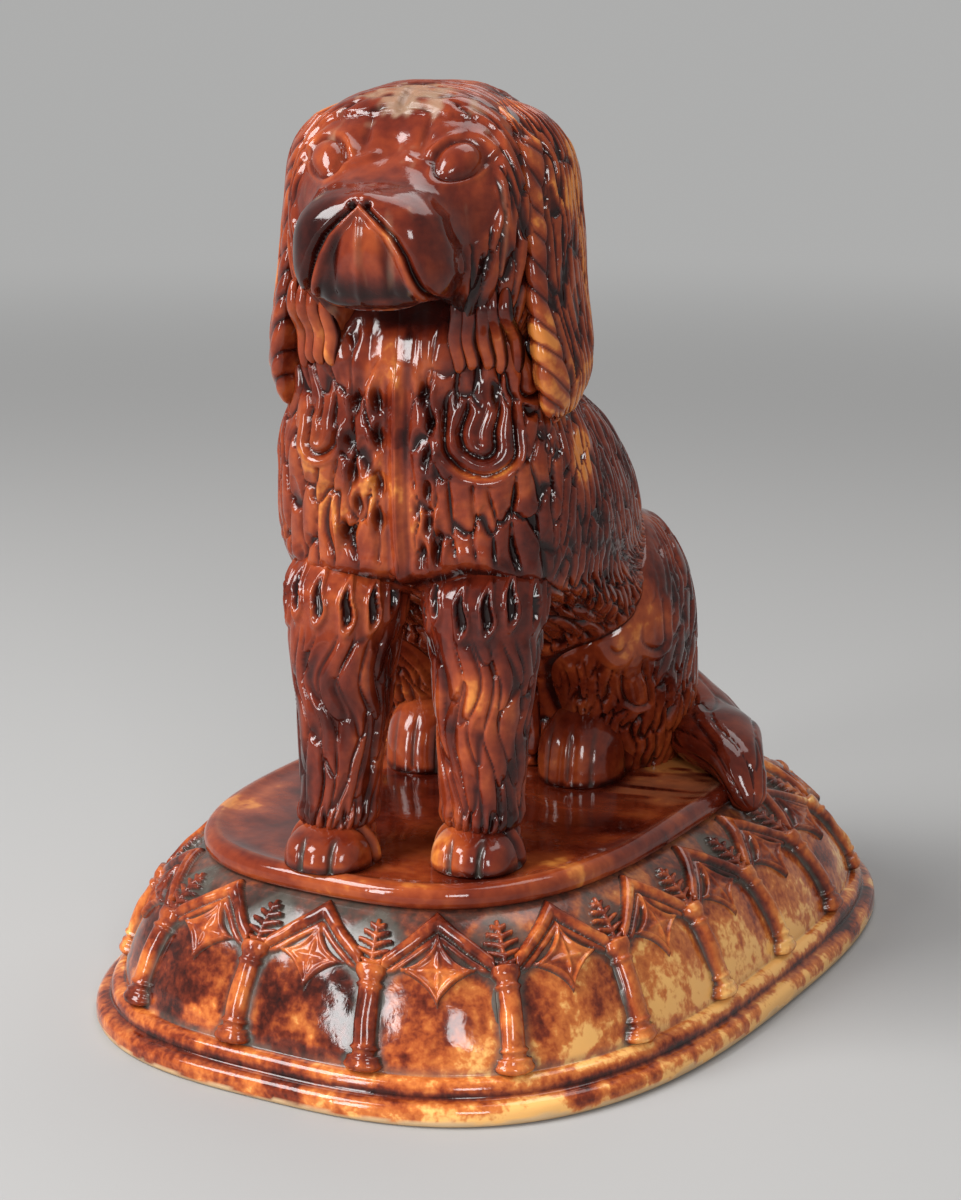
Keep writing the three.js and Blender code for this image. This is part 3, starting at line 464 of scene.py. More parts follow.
def glaze(name, tones, lean, coarse, streak, rough, grain=0.35):
    """Mottled lead glaze: a ramp of browns chosen by blotches, vertical runs and specks, darker where the
    glaze pools and where shade is painted, lighter where it ran thin, over a pale clay body."""
    mat = bpy.data.materials.new(name)
    mat.use_nodes = True
    tree = mat.node_tree
    shader = tree.nodes["Principled BSDF"]

    def add(kind, **settings):
        n = tree.nodes.new(kind)
        for key, value in settings.items():
            setattr(n, key, value)
        return n

    def join(a, b):
        tree.links.new(a, b)

    def math_of(operation, a, b):
        return reckon(tree, operation, a, b)

    def cloud(vector, scale, detail, warp):
        """Soft noise at a scale."""
        n = add("ShaderNodeTexNoise")
        n.inputs["Scale"].default_value = scale
        n.inputs["Detail"].default_value = detail
        n.inputs["Roughness"].default_value = 0.58
        n.inputs["Distortion"].default_value = warp
        join(vector, n.inputs["Vector"])
        return n.outputs["Fac"]

    def mark(word):
        """One of the piece's own marks."""
        return add("ShaderNodeAttribute", attribute_name=word).outputs["Fac"]

    def blend(share, a, b):
        """Two colours mixed by the second one's share."""
        n = add("ShaderNodeMix", data_type="RGBA")
        for socket, value in ((n.inputs[6], a), (n.inputs[7], b)):
            if isinstance(value, tuple):
                socket.default_value = (*value, 1)
            else:
                join(value, socket)
        join(share, n.inputs[0])
        return n.outputs[2]

    place = add("ShaderNodeTexCoord").outputs["Object"]
    runs = add("ShaderNodeMapping")
    runs.inputs["Scale"].default_value = (1, 1, 0.2)
    join(place, runs.inputs["Vector"])
    blotch = cloud(place, coarse, 4, 0.8)
    flow = cloud(runs.outputs["Vector"], coarse * FLOW_SCALE, 3, 0.5)
    speck = cloud(place, coarse * SPECK_SCALE, 2, 0.2)
    tone = math_of("ADD", math_of("MULTIPLY", blotch, BLOTCH_WEIGHT), math_of("MULTIPLY", flow, streak))
    tone = math_of("ADD", tone, math_of("MULTIPLY", speck, grain))
    tone = math_of("SUBTRACT", tone, (BLOTCH_WEIGHT + streak + grain) / 2 - lean)
    tone = math_of("ADD", tone, math_of("MULTIPLY", mark("thin"), THIN_WEIGHT))
    tone = math_of("SUBTRACT", tone, math_of("MULTIPLY", mark("pooled_and_shade"), POOL_AND_SHADE_WEIGHT))
    ramp = add("ShaderNodeValToRGB")
    band = ramp.color_ramp
    while len(band.elements) < len(tones):
        band.elements.new(0.5)
    for element, (at, colour) in zip(band.elements, tones):
        element.position = at
        element.color = (*colour, 1)
    join(tone, ramp.inputs["Fac"])
    colour = blend(math_of("MULTIPLY", mark("pooled_and_shade"), 0.8), ramp.outputs["Color"], POOL_AND_SHADE)
    grey = math_of("MULTIPLY", mark("dust"), math_of("ADD", cloud(place, DUST_SCALE, 3, 0.3), 0.35))
    colour = blend(grey, colour, DUST)
    clay = blend(cloud(place, CLAY_SCALE, 4, 0.2), CLAY_PALE, CLAY_DEEP)
    colour = blend(mark("bare"), colour, clay)
    join(colour, shader.inputs["Base Color"])
    matt = math_of("ADD", math_of("MULTIPLY", mark("bare"), 0.6), math_of("MULTIPLY", grey, 0.3))
    haze = math_of("MULTIPLY", cloud(place, HAZE_SCALE, 3, 0.4), 0.12)
    join(math_of("ADD", math_of("ADD", matt, haze), rough - 0.06), shader.inputs["Roughness"])
    shader.inputs["IOR"].default_value = 1.52
    shader.inputs["Specular IOR Level"].default_value = 0.36
    bump = add("ShaderNodeBump")
    bump.inputs["Strength"].default_value = 0.1
    bump.inputs["Distance"].default_value = 0.0006
    join(cloud(place, PITTING_SCALE, 3, 0.6), bump.inputs["Height"])
    join(bump.outputs["Normal"], shader.inputs["Normal"])
    return mat


BROWNS = (
    (0.0, (0.016, 0.0016, 0.0012)), (0.22, (0.048, 0.0048, 0.0022)), (0.42, (0.115, 0.0135, 0.005)),
    (0.62, (0.20, 0.029, 0.0085)), (0.85, (0.33, 0.064, 0.016)), (1.0, (0.60, 0.20, 0.04)),
)
AMBERS = (
    (0.0, (0.016, 0.003, 0.002)), (0.20, (0.06, 0.0075, 0.003)), (0.40, (0.17, 0.024, 0.008)),
    (0.58, (0.36, 0.072, 0.016)), (0.80, (0.57, 0.165, 0.036)), (1.0, (0.86, 0.46, 0.14)),
)
brown_glaze = glaze("brown_glaze", BROWNS, 0.54, 26, 0.6, 0.08)
face_glaze = glaze("face_glaze", BROWNS, 0.54, 22, 0.3, 0.10)
leg_glaze = glaze("leg_glaze", BROWNS, 0.58, 24, 0.7, 0.07)
dark_glaze = glaze("dark_glaze", BROWNS, 0.41, 20, 0.2, 0.06)
amber_glaze = glaze("amber_glaze", AMBERS, 0.52, 34, 0.4, 0.10, 0.75)
relief_glaze = glaze("relief_glaze", AMBERS, 0.48, 34, 0.3, 0.10, 0.5)


# Plinth

def level(long, wide, middle, z, angle):
    """Points of one level of the plinth: a superellipse in plan, in polar form."""
    c, s = np.cos(angle) / wide, np.sin(angle) / long
    reach = (np.abs(c) ** PLAN_POWER + np.abs(s) ** PLAN_POWER) ** (-1 / PLAN_POWER)
    x, y = np.cos(angle) * reach, middle + np.sin(angle) * reach
    return np.stack(np.broadcast_arrays(x, y, z), -1)


def foot_level(inset, z, angle):
    """A level drawn in from the foot's outline."""
    return level(FOOT_LENGTH / 2 - inset, FOOT_WIDTH / 2 - inset, 0 * inset, z, angle)


def platform_level(inset, z, angle):
    """A level drawn in from the platform's outline."""
    long, wide = PLATFORM_LENGTH / 2 - inset, PLATFORM_WIDTH / 2 - inset
    return level(long, wide, 0 * inset - PLATFORM_FORWARD, z, angle)


def wall(share, angle, inset=0.0):
    """Wall of the skirt: steep on its ledge, rolling in to the platform, by share of its height."""
    share = np.clip(share, 0, 1)
    drawn = 1 - (1 - share ** WALL_CURVE_POWER) ** (1 / WALL_CURVE_POWER)
    low = LEDGE_INSET + inset
    high = RIM_OVERHANG + inset
    long = (FOOT_LENGTH / 2 - low) * (1 - drawn) + (PLATFORM_LENGTH / 2 - high) * drawn
    wide = (FOOT_WIDTH / 2 - low) * (1 - drawn) + (PLATFORM_WIDTH / 2 - high) * drawn
    return level(long, wide, -PLATFORM_FORWARD * drawn, LEDGE_HEIGHT + SLANT * share, angle)


fine = np.linspace(-math.pi / 2, 1.5 * math.pi, 2881)
ledge = wall(0 * fine, fine)
ledge_run = np.concatenate([[0], np.cumsum(np.linalg.norm(np.diff(ledge, axis=0), axis=1))])
PERIMETER = ledge_run[-1]


def ledge_angle(share):
    """Angle at a share of the ledge's length, from the front round by +X."""
    turns = np.floor(share)
    return np.interp((share - turns) * PERIMETER, ledge_run, fine) + turns * 2 * math.pi


def over_wall(middle, along, share, lift):
    """Points lifted off the wall: distance along the ledge from a middle, share of height, lift."""
    angle = ledge_angle(middle + along / PERIMETER)
    step = 0.004
    low = np.clip(share - step, 0, 1 - 2 * step)
    up = wall(low + 2 * step, angle) - wall(low, angle)
    across = wall(share, angle + step) - wall(share, angle - step)
    return wall(share, angle) + unit(np.cross(across, up)) * lift[..., None]


def ridge(d, half):
    """Round-backed moulding of a half width, by distance from its middle."""
    return np.sqrt(np.clip(1 - (d / half) ** 2, 0, 1))


def column_relief(x, share):
    """Height of a column: ringed foot, shaft, ringed capital, then a fir sprig of spreading branches."""
    ax = np.abs(x)
    foot = ease(share, 0.005, 0.02) * (1 - ease(share, 0.1, 0.115))
    rings = sum(bell(share - height, width) for height, width in COLUMN_RINGS)
    cap = ease(share, 0.58, 0.64) * (1 - ease(share, 0.675, 0.695))
    half = SHAFT_HALF + 1.5 * foot + 0.8 * rings + 1.5 * cap
    rise = SHAFT_RISE + 0.8 * foot + 0.6 * rings + 0.8 * cap
    shaft = ease(share, 0.0, 0.012) * (1 - ease(share, 0.68, 0.70))
    h = rise * ridge(x, half) * shaft
    y = (share - SPRIG_START) * SLANT
    stem = 1.6 * ridge(x, 0.9) * ease(y, -0.5, 0.5) * (1 - ease(y, SPRIG_TALL - 0.4, SPRIG_TALL + 0.4))
    h = np.maximum(h, stem)
    for y0, reach in SPRIG_BRANCHES:
        d = y - y0 - 0.32 * ax + 0.022 * ax * ax
        slim = 0.85 - 0.36 * ax / reach
        h = np.maximum(h, 1.7 * ridge(d, slim) * (1 - ease(ax, reach - 1.0, reach)))
    return h


HALF_BAY = PERIMETER / BAYS / 2


def arch_relief(x, share):
    """Height of a bay's hood and star: a doubled pointed moulding and a hollow-sided four-pointed star."""
    ax, y = np.abs(x), share * SLANT
    apex, spring = HOOD_APEX * SLANT, HOOD_SPRING * SLANT
    run, climb = HALF_BAY - HOOD_INSET, apex - spring
    fall = spring + climb * (1 - (ax / run) ** 1.12) - y
    d = fall * run / math.hypot(run, climb)
    inside = 1 - ease(ax, run - 0.5, run + 1.5)
    h = 2.3 * ridge(d - 0.2, 1.7) * inside
    h = np.maximum(h, 1.3 * ridge(d - 3.0, 0.95) * inside * ease(y, spring - 3.0, spring - 1.0))
    sx, sy = ax / STAR_HALF, np.abs(y - apex + STAR_DROP) / STAR_TALL
    star = sx ** STAR_POWER + sy ** STAR_POWER
    plate = ease(star, 1.03, 0.92) * 1.25
    rim = bell(star - 0.86, 0.075) * 0.8
    rib = np.minimum(sx * STAR_HALF, sy * STAR_TALL)
    cross = bell(rib, 0.75) * (1 - ease(star, 0.5, 0.75)) * 0.7
    return np.maximum(h, plate + rim + cross)


def relief_piece(node, middle, half, reach, grid, shape):
    """A pressed sprig: its front rises from just inside the wall by the relief, its back lies in the wall."""
    rows, cols = grid
    x, share = np.meshgrid(np.linspace(-half, half, cols), np.linspace(*reach, rows))
    wander = 0.35 * noise(x / 7, share * 6, middle * 89, 3)
    h = shape(x + wander, share + 0.4 * wander / SLANT)
    worn = 1 + 0.14 * noise(x * 0.21, share * 8, middle * 97, 4)
    lift = np.where(h > 0, h * worn + 0.05, 0) + RELIEF_EDGE * (1 - ease(h, 0.0, 0.5))
    front = over_wall(middle, x, share, lift)
    back = over_wall(middle, x, share, np.full_like(lift, RELIEF_BED))
    top = h / 3.0
    sunny = ease(front[..., 0], 20, 85)
    marks = {
        "thin": ease(top, 0.4, 0.9) * (0.08 + 0.4 * sunny),
        "pooled_and_shade": (1 - ease(h, 0.1, 1.2)) * 0.55,
        "dust": (1 - ease(h, 0.2, 1.1)) * 0.75,
    }
    slab(f"{node}_visual", front, back, marks, relief_glaze, [node])


def bay_offset(x):
    """Distance along the ledge from the nearest column, for distances run from the front."""
    return (x / PERIMETER * BAYS - ARCADE_SHIFT + 0.5) % 1.0 * (2 * HALF_BAY) - HALF_BAY


def build_skirt():
    """Hollow skirt: rings from the foot's underside up the outside, over the top and down the inside."""
    cols = SKIRT_AROUND
    share_round = np.arange(cols) / cols
    angle = ledge_angle(share_round)[None, :]
    rings = [foot_level(np.full((1, 1), i), z, angle) for i, z in FOOT_PROFILE]
    shares = np.linspace(0, 1, SKIRT_WALL_RINGS)[:, None]
    x = share_round[None, :] * PERIMETER
    near = bay_offset(x)
    ripple = 0.25 * noise(x / 16, shares * 2.2, 0, 31) + 0.10 * noise(x / 5, shares * 7, 0, 32)
    swell = -0.42 * np.cos(near / HALF_BAY * math.pi) * np.sin(shares * math.pi)
    fade = np.sin(np.clip(shares, 0, 1) * math.pi) ** 0.5
    grid = (len(shares), cols)
    wide_share, wide_near = np.broadcast_to(shares, grid), np.broadcast_to(near, grid)
    body = over_wall(0.0, np.broadcast_to(x, grid), wide_share, (ripple + swell) * fade)
    inner = wall(np.linspace(1, 0, SKIRT_INNER_RINGS)[:, None], angle, WALL_THICKNESS)
    under = foot_level(np.full((1, 1), LEDGE_INSET + WALL_THICKNESS), 0.0, angle)
    points = np.concatenate([np.concatenate(rings).reshape(len(rings), cols, 3), body, inner, under])
    z = points[..., 2]
    on_wall = slice(len(rings), len(rings) + len(body))
    outside = np.zeros(z.shape)
    outside[:on_wall.stop] = 1
    run = np.broadcast_to(x, z.shape)
    sunny = ease(points[..., 0], 5, 85)
    edge = 1.3 + 0.9 * noise(run / 9, 0 * run, 0, 41) + 0.5 * noise(run / 3, 0 * run, 0, 42) + 0.8 * sunny
    bare = np.where(outside > 0, 1 - ease(z, edge - 0.35, edge + 0.35), 1)
    relief, wallmask, height = np.zeros((3, *z.shape))
    for dx, dy in DUST_REACH:
        bay = (wide_near + HALF_BAY + dx) % (2 * HALF_BAY) - HALF_BAY
        at = np.clip(wide_share + dy, 0, 1)
        relief[on_wall] += (arch_relief(bay, at) + column_relief(wide_near + dx, at)) / len(DUST_REACH)
    wallmask[on_wall] = 1
    height[on_wall] = wide_share
    crowd = ease(relief, 0.0, 1.1)
    low = wallmask * (1 - ease(height, 0.0, 0.07))
    high = wallmask * ease(height, 0.80, 0.99)
    patch = 0.5 + 0.5 * noise(run / 26, z / 14, 0, 43)
    dust = np.clip(0.8 * crowd + 0.7 * low + 0.6 * high, 0, 1) * (0.25 + 0.75 * patch) * outside
    band = outside * (1 - ease(z, *FOOT_BAND_TOP))
    fillet = outside * bell(z - FOOT_FILLET, 1.1) * (1 - wallmask)
    drip = ease(noise(run / 5, z / 30, 0, 44) + 0.5 * noise(run / 2.2, z / 16, 0, 45), -0.1, 0.4)
    foot_tone = (0.15 + 0.5 * sunny) * (1 - 0.75 * drip)
    foot_tone = foot_tone + 0.6 * sunny * (1 - ease(z, 1.5, 3.6 + 1.5 * (1 - drip)))
    mottle = ease(noise(run / 11, z / 8, 0, 46) + 0.6 * noise(run / 4, z / 4, 0, 47), -0.15, 0.5)
    base_of_wall = wallmask * (1 - ease(height, 0.12, 0.5))
    thin = band * foot_tone + (0.25 + 0.4 * sunny) * fillet + 0.33 * sunny * wallmask
    thin = thin + 0.42 * base_of_wall * mottle * (0.5 + 0.5 * sunny)
    dip = outside * bell(z - FOOT_GROOVE, 0.9) * (1 - wallmask)
    pooled_and_shade = 0.35 * crowd + 0.6 * dip + 0.38 * (1 - sunny) * wallmask * (1 - mottle * base_of_wall)
    loop("base_skirt_visual", points, {"bare": bare, "dust": dust, "thin": thin, "pooled_and_shade": pooled_and_shade},
         amber_glaze, ["base_skirt"])


def build_platform():
    """Slab: rings from the middle of its underside out, round the rim and in over its top."""
    cols, under = PLATFORM_AROUND, WALL_TOP
    angle = ledge_angle(np.arange(cols) / cols)[None, :]
    profile = [(i, under + up) for i, up in RIM_PROFILE]
    profile += [(i, PLATFORM_TOP) for i in np.linspace(FIRST_TOP_INSET, LAST_TOP_INSET, PLATFORM_TOP_RINGS)]
    inset = np.array([p[0] for p in profile])[:, None]
    z = np.array([p[1] for p in profile])[:, None]
    points = platform_level(inset, z, angle)
    top = (z >= PLATFORM_TOP - 0.001) * np.ones((1, cols))
    x, y = points[..., 0], points[..., 1]
    dish = -0.55 * ease(inset, 3.0, 9.0) + 0.25 * bell(inset - 3.2, 1.6)
    points[..., 2] += top * (dish + 0.18 * noise(x / 14, y / 14, 0, 51))
    rim = (1 - ease(inset, 2.0, 6.5)) * ease(z, under, under + 1.0)
    streak = 0.5 + 0.5 * noise(x / 22 + y / 60, y / 13 - x / 60, 0, 52)
    fine_streak = 0.5 + 0.5 * noise(x / 9 + y / 30, y / 3.2 - x / 16, 0, 54)
    edge = bell(inset - 9, 6.0) * ease(streak, 0.45, 0.8)
    thin = 0.75 * rim * (0.35 + 0.65 * streak) + 0.6 * edge * top
    pale = top * ease(x, 8, 34) * ease(y, -12, 6) * (1 - ease(inset, 26, 34)) * ease(fine_streak, 0.2, 0.6)
    thin = thin + pale + 0.4 * ease(y, 10, 50) * top * ease(streak, 0.35, 0.8)
    thin = thin + 0.2 * top * ease(streak, 0.3, 0.7)
    seat = bell(inset - 3.0, 1.4) * top * (0.5 + 0.5 * noise(x / 20, y / 20, 0, 53))
    marks = {"thin": thin, "bare": 0.12 * pale, "dust": 0.35 * seat}
    tube("platform_visual", [points], marks, dark_glaze, ["platform"])


# Dog

def lock_lift(turn, at):
    """Main hanging locks of the body: rounded lobes in staggered rows that run into one another."""
    def lobes(row, hang):
        """Round-backed locks of one row: fullest a little above their lower ends, slim at their roots."""
        across = turn * LOCKS_PER_SIDE + row / 2
        up_to_end, from_root = hang / LOCK_END, (1 - hang) / (1 - LOCK_END)
        full = LOCK_ROOT + (1 - LOCK_ROOT) * np.minimum(up_to_end, from_root)
        return full * (1 - (2 * (across % 1.0) - 1) ** 2)

    row = np.floor(at / LOCK_LONG)
    hang = at / LOCK_LONG - row
    from_below = 0.5 * (1 - ease(hang, 0.0, 0.3))
    from_above = 0.5 * ease(hang, 0.7, 1.0)
    rise = lobes(row, hang) * (1 - from_below - from_above)
    rise = rise + lobes(row - 1, 0 * hang + 1) * from_below + lobes(row + 1, 0 * hang) * from_above
    return LOCK_RISE * (0.25 + 0.5 * rise) * np.clip(np.minimum(turn, 1 - turn) / LOCK_PLAIN, 0, 1)


def beside_haunch(side, x, y, z):
    """Distance outside a haunch, about, of some points in the dog's own place."""
    at = np.clip(z - PLATFORM_TOP, 0, 82)
    out, half, behind, long = (through(HAUNCH, k, at) for k in ("out", "half", "behind", "long"))
    swell = np.abs((side * x - out) / half) ** HAUNCH_POWER + np.abs((y - behind) / long) ** HAUNCH_POWER
    return (swell ** (1 / HAUNCH_POWER) - 1) * (half + long) / 2 + np.maximum(z - PLATFORM_TOP - 82, 0)


def beside_body(x, y, z):
    """Distance outside the body, about, of some points in the dog's own place."""
    at = np.clip(z - PLATFORM_TOP, 0, 150)
    front, back, half = (through(BODY, k, at) for k in ("front", "back", "half"))
    s = (2 * y - front - back) / (back - front)
    c = x / (half * (1 - BODY_TAPER * np.clip(s, -1, 1)))
    swell = (np.abs(c) ** BODY_POWER + np.abs(s) ** BODY_POWER) ** (1 / BODY_POWER)
    return (swell - 1) * half


def build_body_half(side, word):
    """Half of the body: level ovals from the neck down, with locks, loops, tool marks and the mould seam
    raised on them. It runs a little past the seam at breast and back, tucked under the other half."""
    rows, cols = BODY_GRID
    at = np.linspace(0, 160, 640)
    spine = np.stack([through(BODY, "front", at), through(BODY, "back", at), at * 1.5], -1)
    at = even(at, spine, rows)[::-1]
    turn = np.linspace(-0.022, 1.022, FINE_STEPS)
    c, s = oval(-math.pi / 2 + math.pi * turn, BODY_POWER)
    step = np.linalg.norm(np.diff(np.stack([47 * c, 70 * s], -1), axis=0), axis=1)
    dense = np.cumsum(step * (1 - 0.2 * ease(turn[1:], 0.3, 0.4) - 0.35 * ease(turn[1:], 0.6, 0.75)))
    turn = even(turn, np.concatenate([[0], dense])[:, None], cols)
    c, s = oval(-math.pi / 2 + math.pi * turn, BODY_POWER)
    front, back, half = (through(BODY, k, at)[:, None] for k in ("front", "back", "half"))
    lobes = lock_lift(np.clip(turn, 0, 1)[None, :], at[:, None])
    middle, long = (front + back) / 2, (back - front) / 2
    u = side * (half + lobes) * c * (1 - BODY_TAPER * s)
    v = middle + (long + lobes) * s
    points = np.stack(np.broadcast_arrays(u, v, PLATFORM_TOP + at[:, None]), -1)
    along, across = np.gradient(points, axis=0), np.gradient(points, axis=1)
    n = unit(np.cross(across, along)) * -side
    zero = int(np.argmin(np.abs(turn)))
    run = lengths(points, 1)
    sd = run - run[:, zero:zero + 1]
    full = np.interp(1.0, turn, np.arange(len(turn)))
    hind = run[:, int(round(full))][:, None] - run
    td = lengths(points, 0)
    td = 0.5 * td + 0.5 * td.mean(1, keepdims=True) - 13.5
    z = points[..., 2]
    seed = 11 if side > 0 else 211
    flank, flank_line = locks(sd, td, *FLANK_LOCK, seed, 0.4, 0.22)
    forward = ease(td - 0.3 * (sd - 50), 60, 76) * ease(sd, 32, 46) * (1 - ease(sd, 80, 92))
    backward = ease(sd, 70, 82) * (1 - forward)
    for tilt, share, further in ((FORWARD_TILT, forward, 40), (BACKWARD_TILT, backward, 60)):
        c, s = math.cos(tilt), math.sin(tilt)
        swept, swept_line = locks(sd * c + td * s, td * c - sd * s, *SWEPT_LOCK, seed + further, 0.4, 0.22)
        flank, flank_line = between(share, flank, swept), between(share, flank_line, swept_line)
    drift = 1.5 * noise(sd / 20, td / 20, 0, seed + 9)
    chest, chest_line = locks(sd + drift, td, *CHEST_LOCK, seed + 20, 0.4, 0.22)
    mix = ease(sd, 40, 50)
    fur, line = between(mix, chest, flank), between(mix, chest_line, flank_line)
    for s0, t0, radius, rise in BREAST_LOOPS[side]:
        wave, cut, rule = curl(sd, td, s0, t0, radius, rise)
        fur, line = between(rule, fur, wave), between(rule, line, cut)
    hem_at = HEM_HEIGHT + HEM_ARCH[side] * bell(sd - 20, 11) + 1.3 * noise(sd / 6, 0 * sd, side, 19)
    breast = 1 - ease(sd, 34, 46)
    hem = breast * (1 - ease(z - hem_at, 0.5, 4.0)) * ease(z, 122, 130)
    ragged = td + 3.5 * noise(sd / 5, 0 * td, side, 18)
    throat = bell(sd, 17) * (1 - ease(ragged, 9, 20))
    quiet = ease(sd, 3.5, 6.5) * ease(hind, 2.5, 8) * ease(td, -6, 0) * (1 - 0.95 * hem) * (1 - 0.92 * throat)
    crease = beside_haunch(side, points[..., 0], points[..., 1], z)
    quiet = quiet * ease(crease, 0.5, 4.0)
    lift = (2.7 - 0.6 * mix) * (fur - LOCK_MEAN) * quiet - 0.3 * line * quiet
    lift = lift + 0.9 * bell(crease - 3.0, 1.6)
    # Painted contact shade, partly glaze pooled, in the crease where the flank meets the haunch.
    pooled_and_shade = np.maximum(line * quiet, 0.9 * (1 - ease(crease, 0.2, 1.8)))
    lift = lift + breast * (1.7 * bell(z - hem_at - 1.5, 3.0) - 0.6 * bell(z - hem_at + 4.5, 1.6))
    # Painted shadow under the hem's overhang, partly glaze pooled in the crease there.
    pooled_and_shade = np.maximum(pooled_and_shade, 0.75 * breast * bell(z - hem_at + 2.8, 1.6))
    ridge_line = ease(td, 6, 14) * ease(z, 134, 140)
    lift = lift + (1.5 * bell(sd, 1.1) - 0.6 * bell(sd - 3.2, 1.2)) * ridge_line
    pooled_and_shade = np.maximum(pooled_and_shade, 0.35 * bell(sd - 2.6, 0.7) * ridge_line)
    stream = noise(sd / 3.4, td / 16, side, 17)
    lift = lift + 0.5 * throat * stream
    for s0, t0 in TOOL_MARKS[side]:
        d = sd - s0 - 0.18 * (td - t0) + 0.7 * np.sin((td - t0) / 2.2)
        hole = bell(d, 1.15) * bell(td - t0, 3.6)
        lip = bell(d - 2.2, 1.0) * bell(td - t0 + 0.6, 3.9)
        lift = lift + 1.5 * lip - 2.4 * hole
        pooled_and_shade = np.maximum(pooled_and_shade * (1 - 0.8 * lip), hole)
    lift = lift + 0.45 * noise(points[..., 0] / 17, points[..., 1] / 17, z / 17, 15)
    tuck = ease(-sd, 0.0, 1.4) + ease(-hind, 0.0, 1.4)
    points = points + n * (lift - 0.7 * tuck)[..., None]
    # Dark vertical drips down the throat, and painted shade across the throat's top right under the chin.
    drips_and_chin_shade = np.maximum(0.6 * ease(-stream, 0.1, 0.5), 0.8 * (1 - ease(td, -7, -2)))
    pooled_and_shade = np.maximum(pooled_and_shade, throat * drips_and_chin_shade)
    patch = ease(noise(sd / 13, td / 22, side, 16), 0.0, 0.6)
    thin = 1.15 * throat * ease(td, -5, 3) * (0.75 + 0.5 * stream)
    thin = thin + (0.3 + 0.1 * side) * patch * ease(fur, 0.55, 0.9)
    thin = thin + 0.25 * bell(sd - 5, 4.0) * ridge_line
    if side < 0:
        pooled_and_shade = np.maximum(pooled_and_shade, 0.3 * bell(sd - 22, 12) * bell(td - 36, 17))
    else:
        thin = thin + 2.0 * bell(sd - 61, 6.0) * bell(td - 40, 7.5) * ease(fur, 0.5, 0.8)
        thin = thin + 1.1 * bell(np.hypot(sd - 24, np.maximum(td - 31, 0)) - 10.0, 1.5) * ease(td, 35, 39)
    points = domed(points, BODY_END, (7.0, 0.5))
    marks = carried({"pooled_and_shade": pooled_and_shade, "thin": thin}, BODY_END)
    node = f"body_{word}_half"
    tube(f"{node}_visual", [in_dog(points)], marks, brown_glaze, [node])


def smooth_path(nodes, count):
    """Even steps along a cubic curve through some points that keeps the slope between each one's neighbours.
    The points' further columns run along with it."""
    padded = np.concatenate([[2 * nodes[0] - nodes[1]], nodes, [2 * nodes[-1] - nodes[-2]]])
    t = np.linspace(0, len(nodes) - 1, 1200)
    i = np.minimum(t.astype(int), len(nodes) - 2)
    f = (t - i)[:, None]
    a, b, c, d = (padded[i + k] for k in range(4))
    bend, twist = 2 * a - 5 * b + 4 * c - d, 3 * b - a - 3 * c + d
    path = 0.5 * (2 * b + (c - a) * f + bend * f ** 2 + twist * f ** 3)
    run = np.concatenate([[0], np.cumsum(np.linalg.norm(np.diff(path[:, :3], axis=0), axis=1))])
    steps = np.linspace(0, run[-1], count)
    return np.stack([np.interp(steps, run, column) for column in path.T], -1)


def cheek_lock(side, out):
    """Lock that falls from under a cheek onto the breast: rounds along a path, slim above and blunt below,
    and how near each point is to the parting between two locks."""
    rows, cols = CHEEK_LOCK_GRID
    front, back, half = (through(BODY, k, np.array([142.0]))[0] for k in ("front", "back", "half"))
    reach = min(abs(side * out + HEAD_ASIDE) / (1.1 * half), 0.99)
    rest = (back - front) / 2 * (1 - reach ** BODY_POWER) ** (1 / BODY_POWER)
    rest = rest - (front + back) / 2 - HEAD_BACK
    wave = math.sin(1.7 * out + side)
    route = smooth_path(np.array([
        (side * out, -21.0, 220), (side * (out + 0.9 * wave), -21.5, 212),
        (side * (out - 0.7 * wave), -rest - 2.6, 205), (side * (out + 0.6 * wave), -rest - 1.7, 199),
        (side * out, -rest - 1.3, 194.0 + 2.6 * wave),
    ]), rows)
    share = np.linspace(-1, 1, rows)[:, None]
    size = (2.1 + 0.35 * wave) * np.sqrt(np.clip(1.001 - np.abs(share) ** 5, 0, 1))
    turn = np.arange(cols)[None, :] / cols * 2 * math.pi
    rounds = np.stack([size * np.cos(turn), size * np.sin(turn), 0 * size * turn], -1)
    return route[:, None, :] + rounds, ease(np.abs(np.cos(turn)) + 0 * size, 0.72, 0.95)


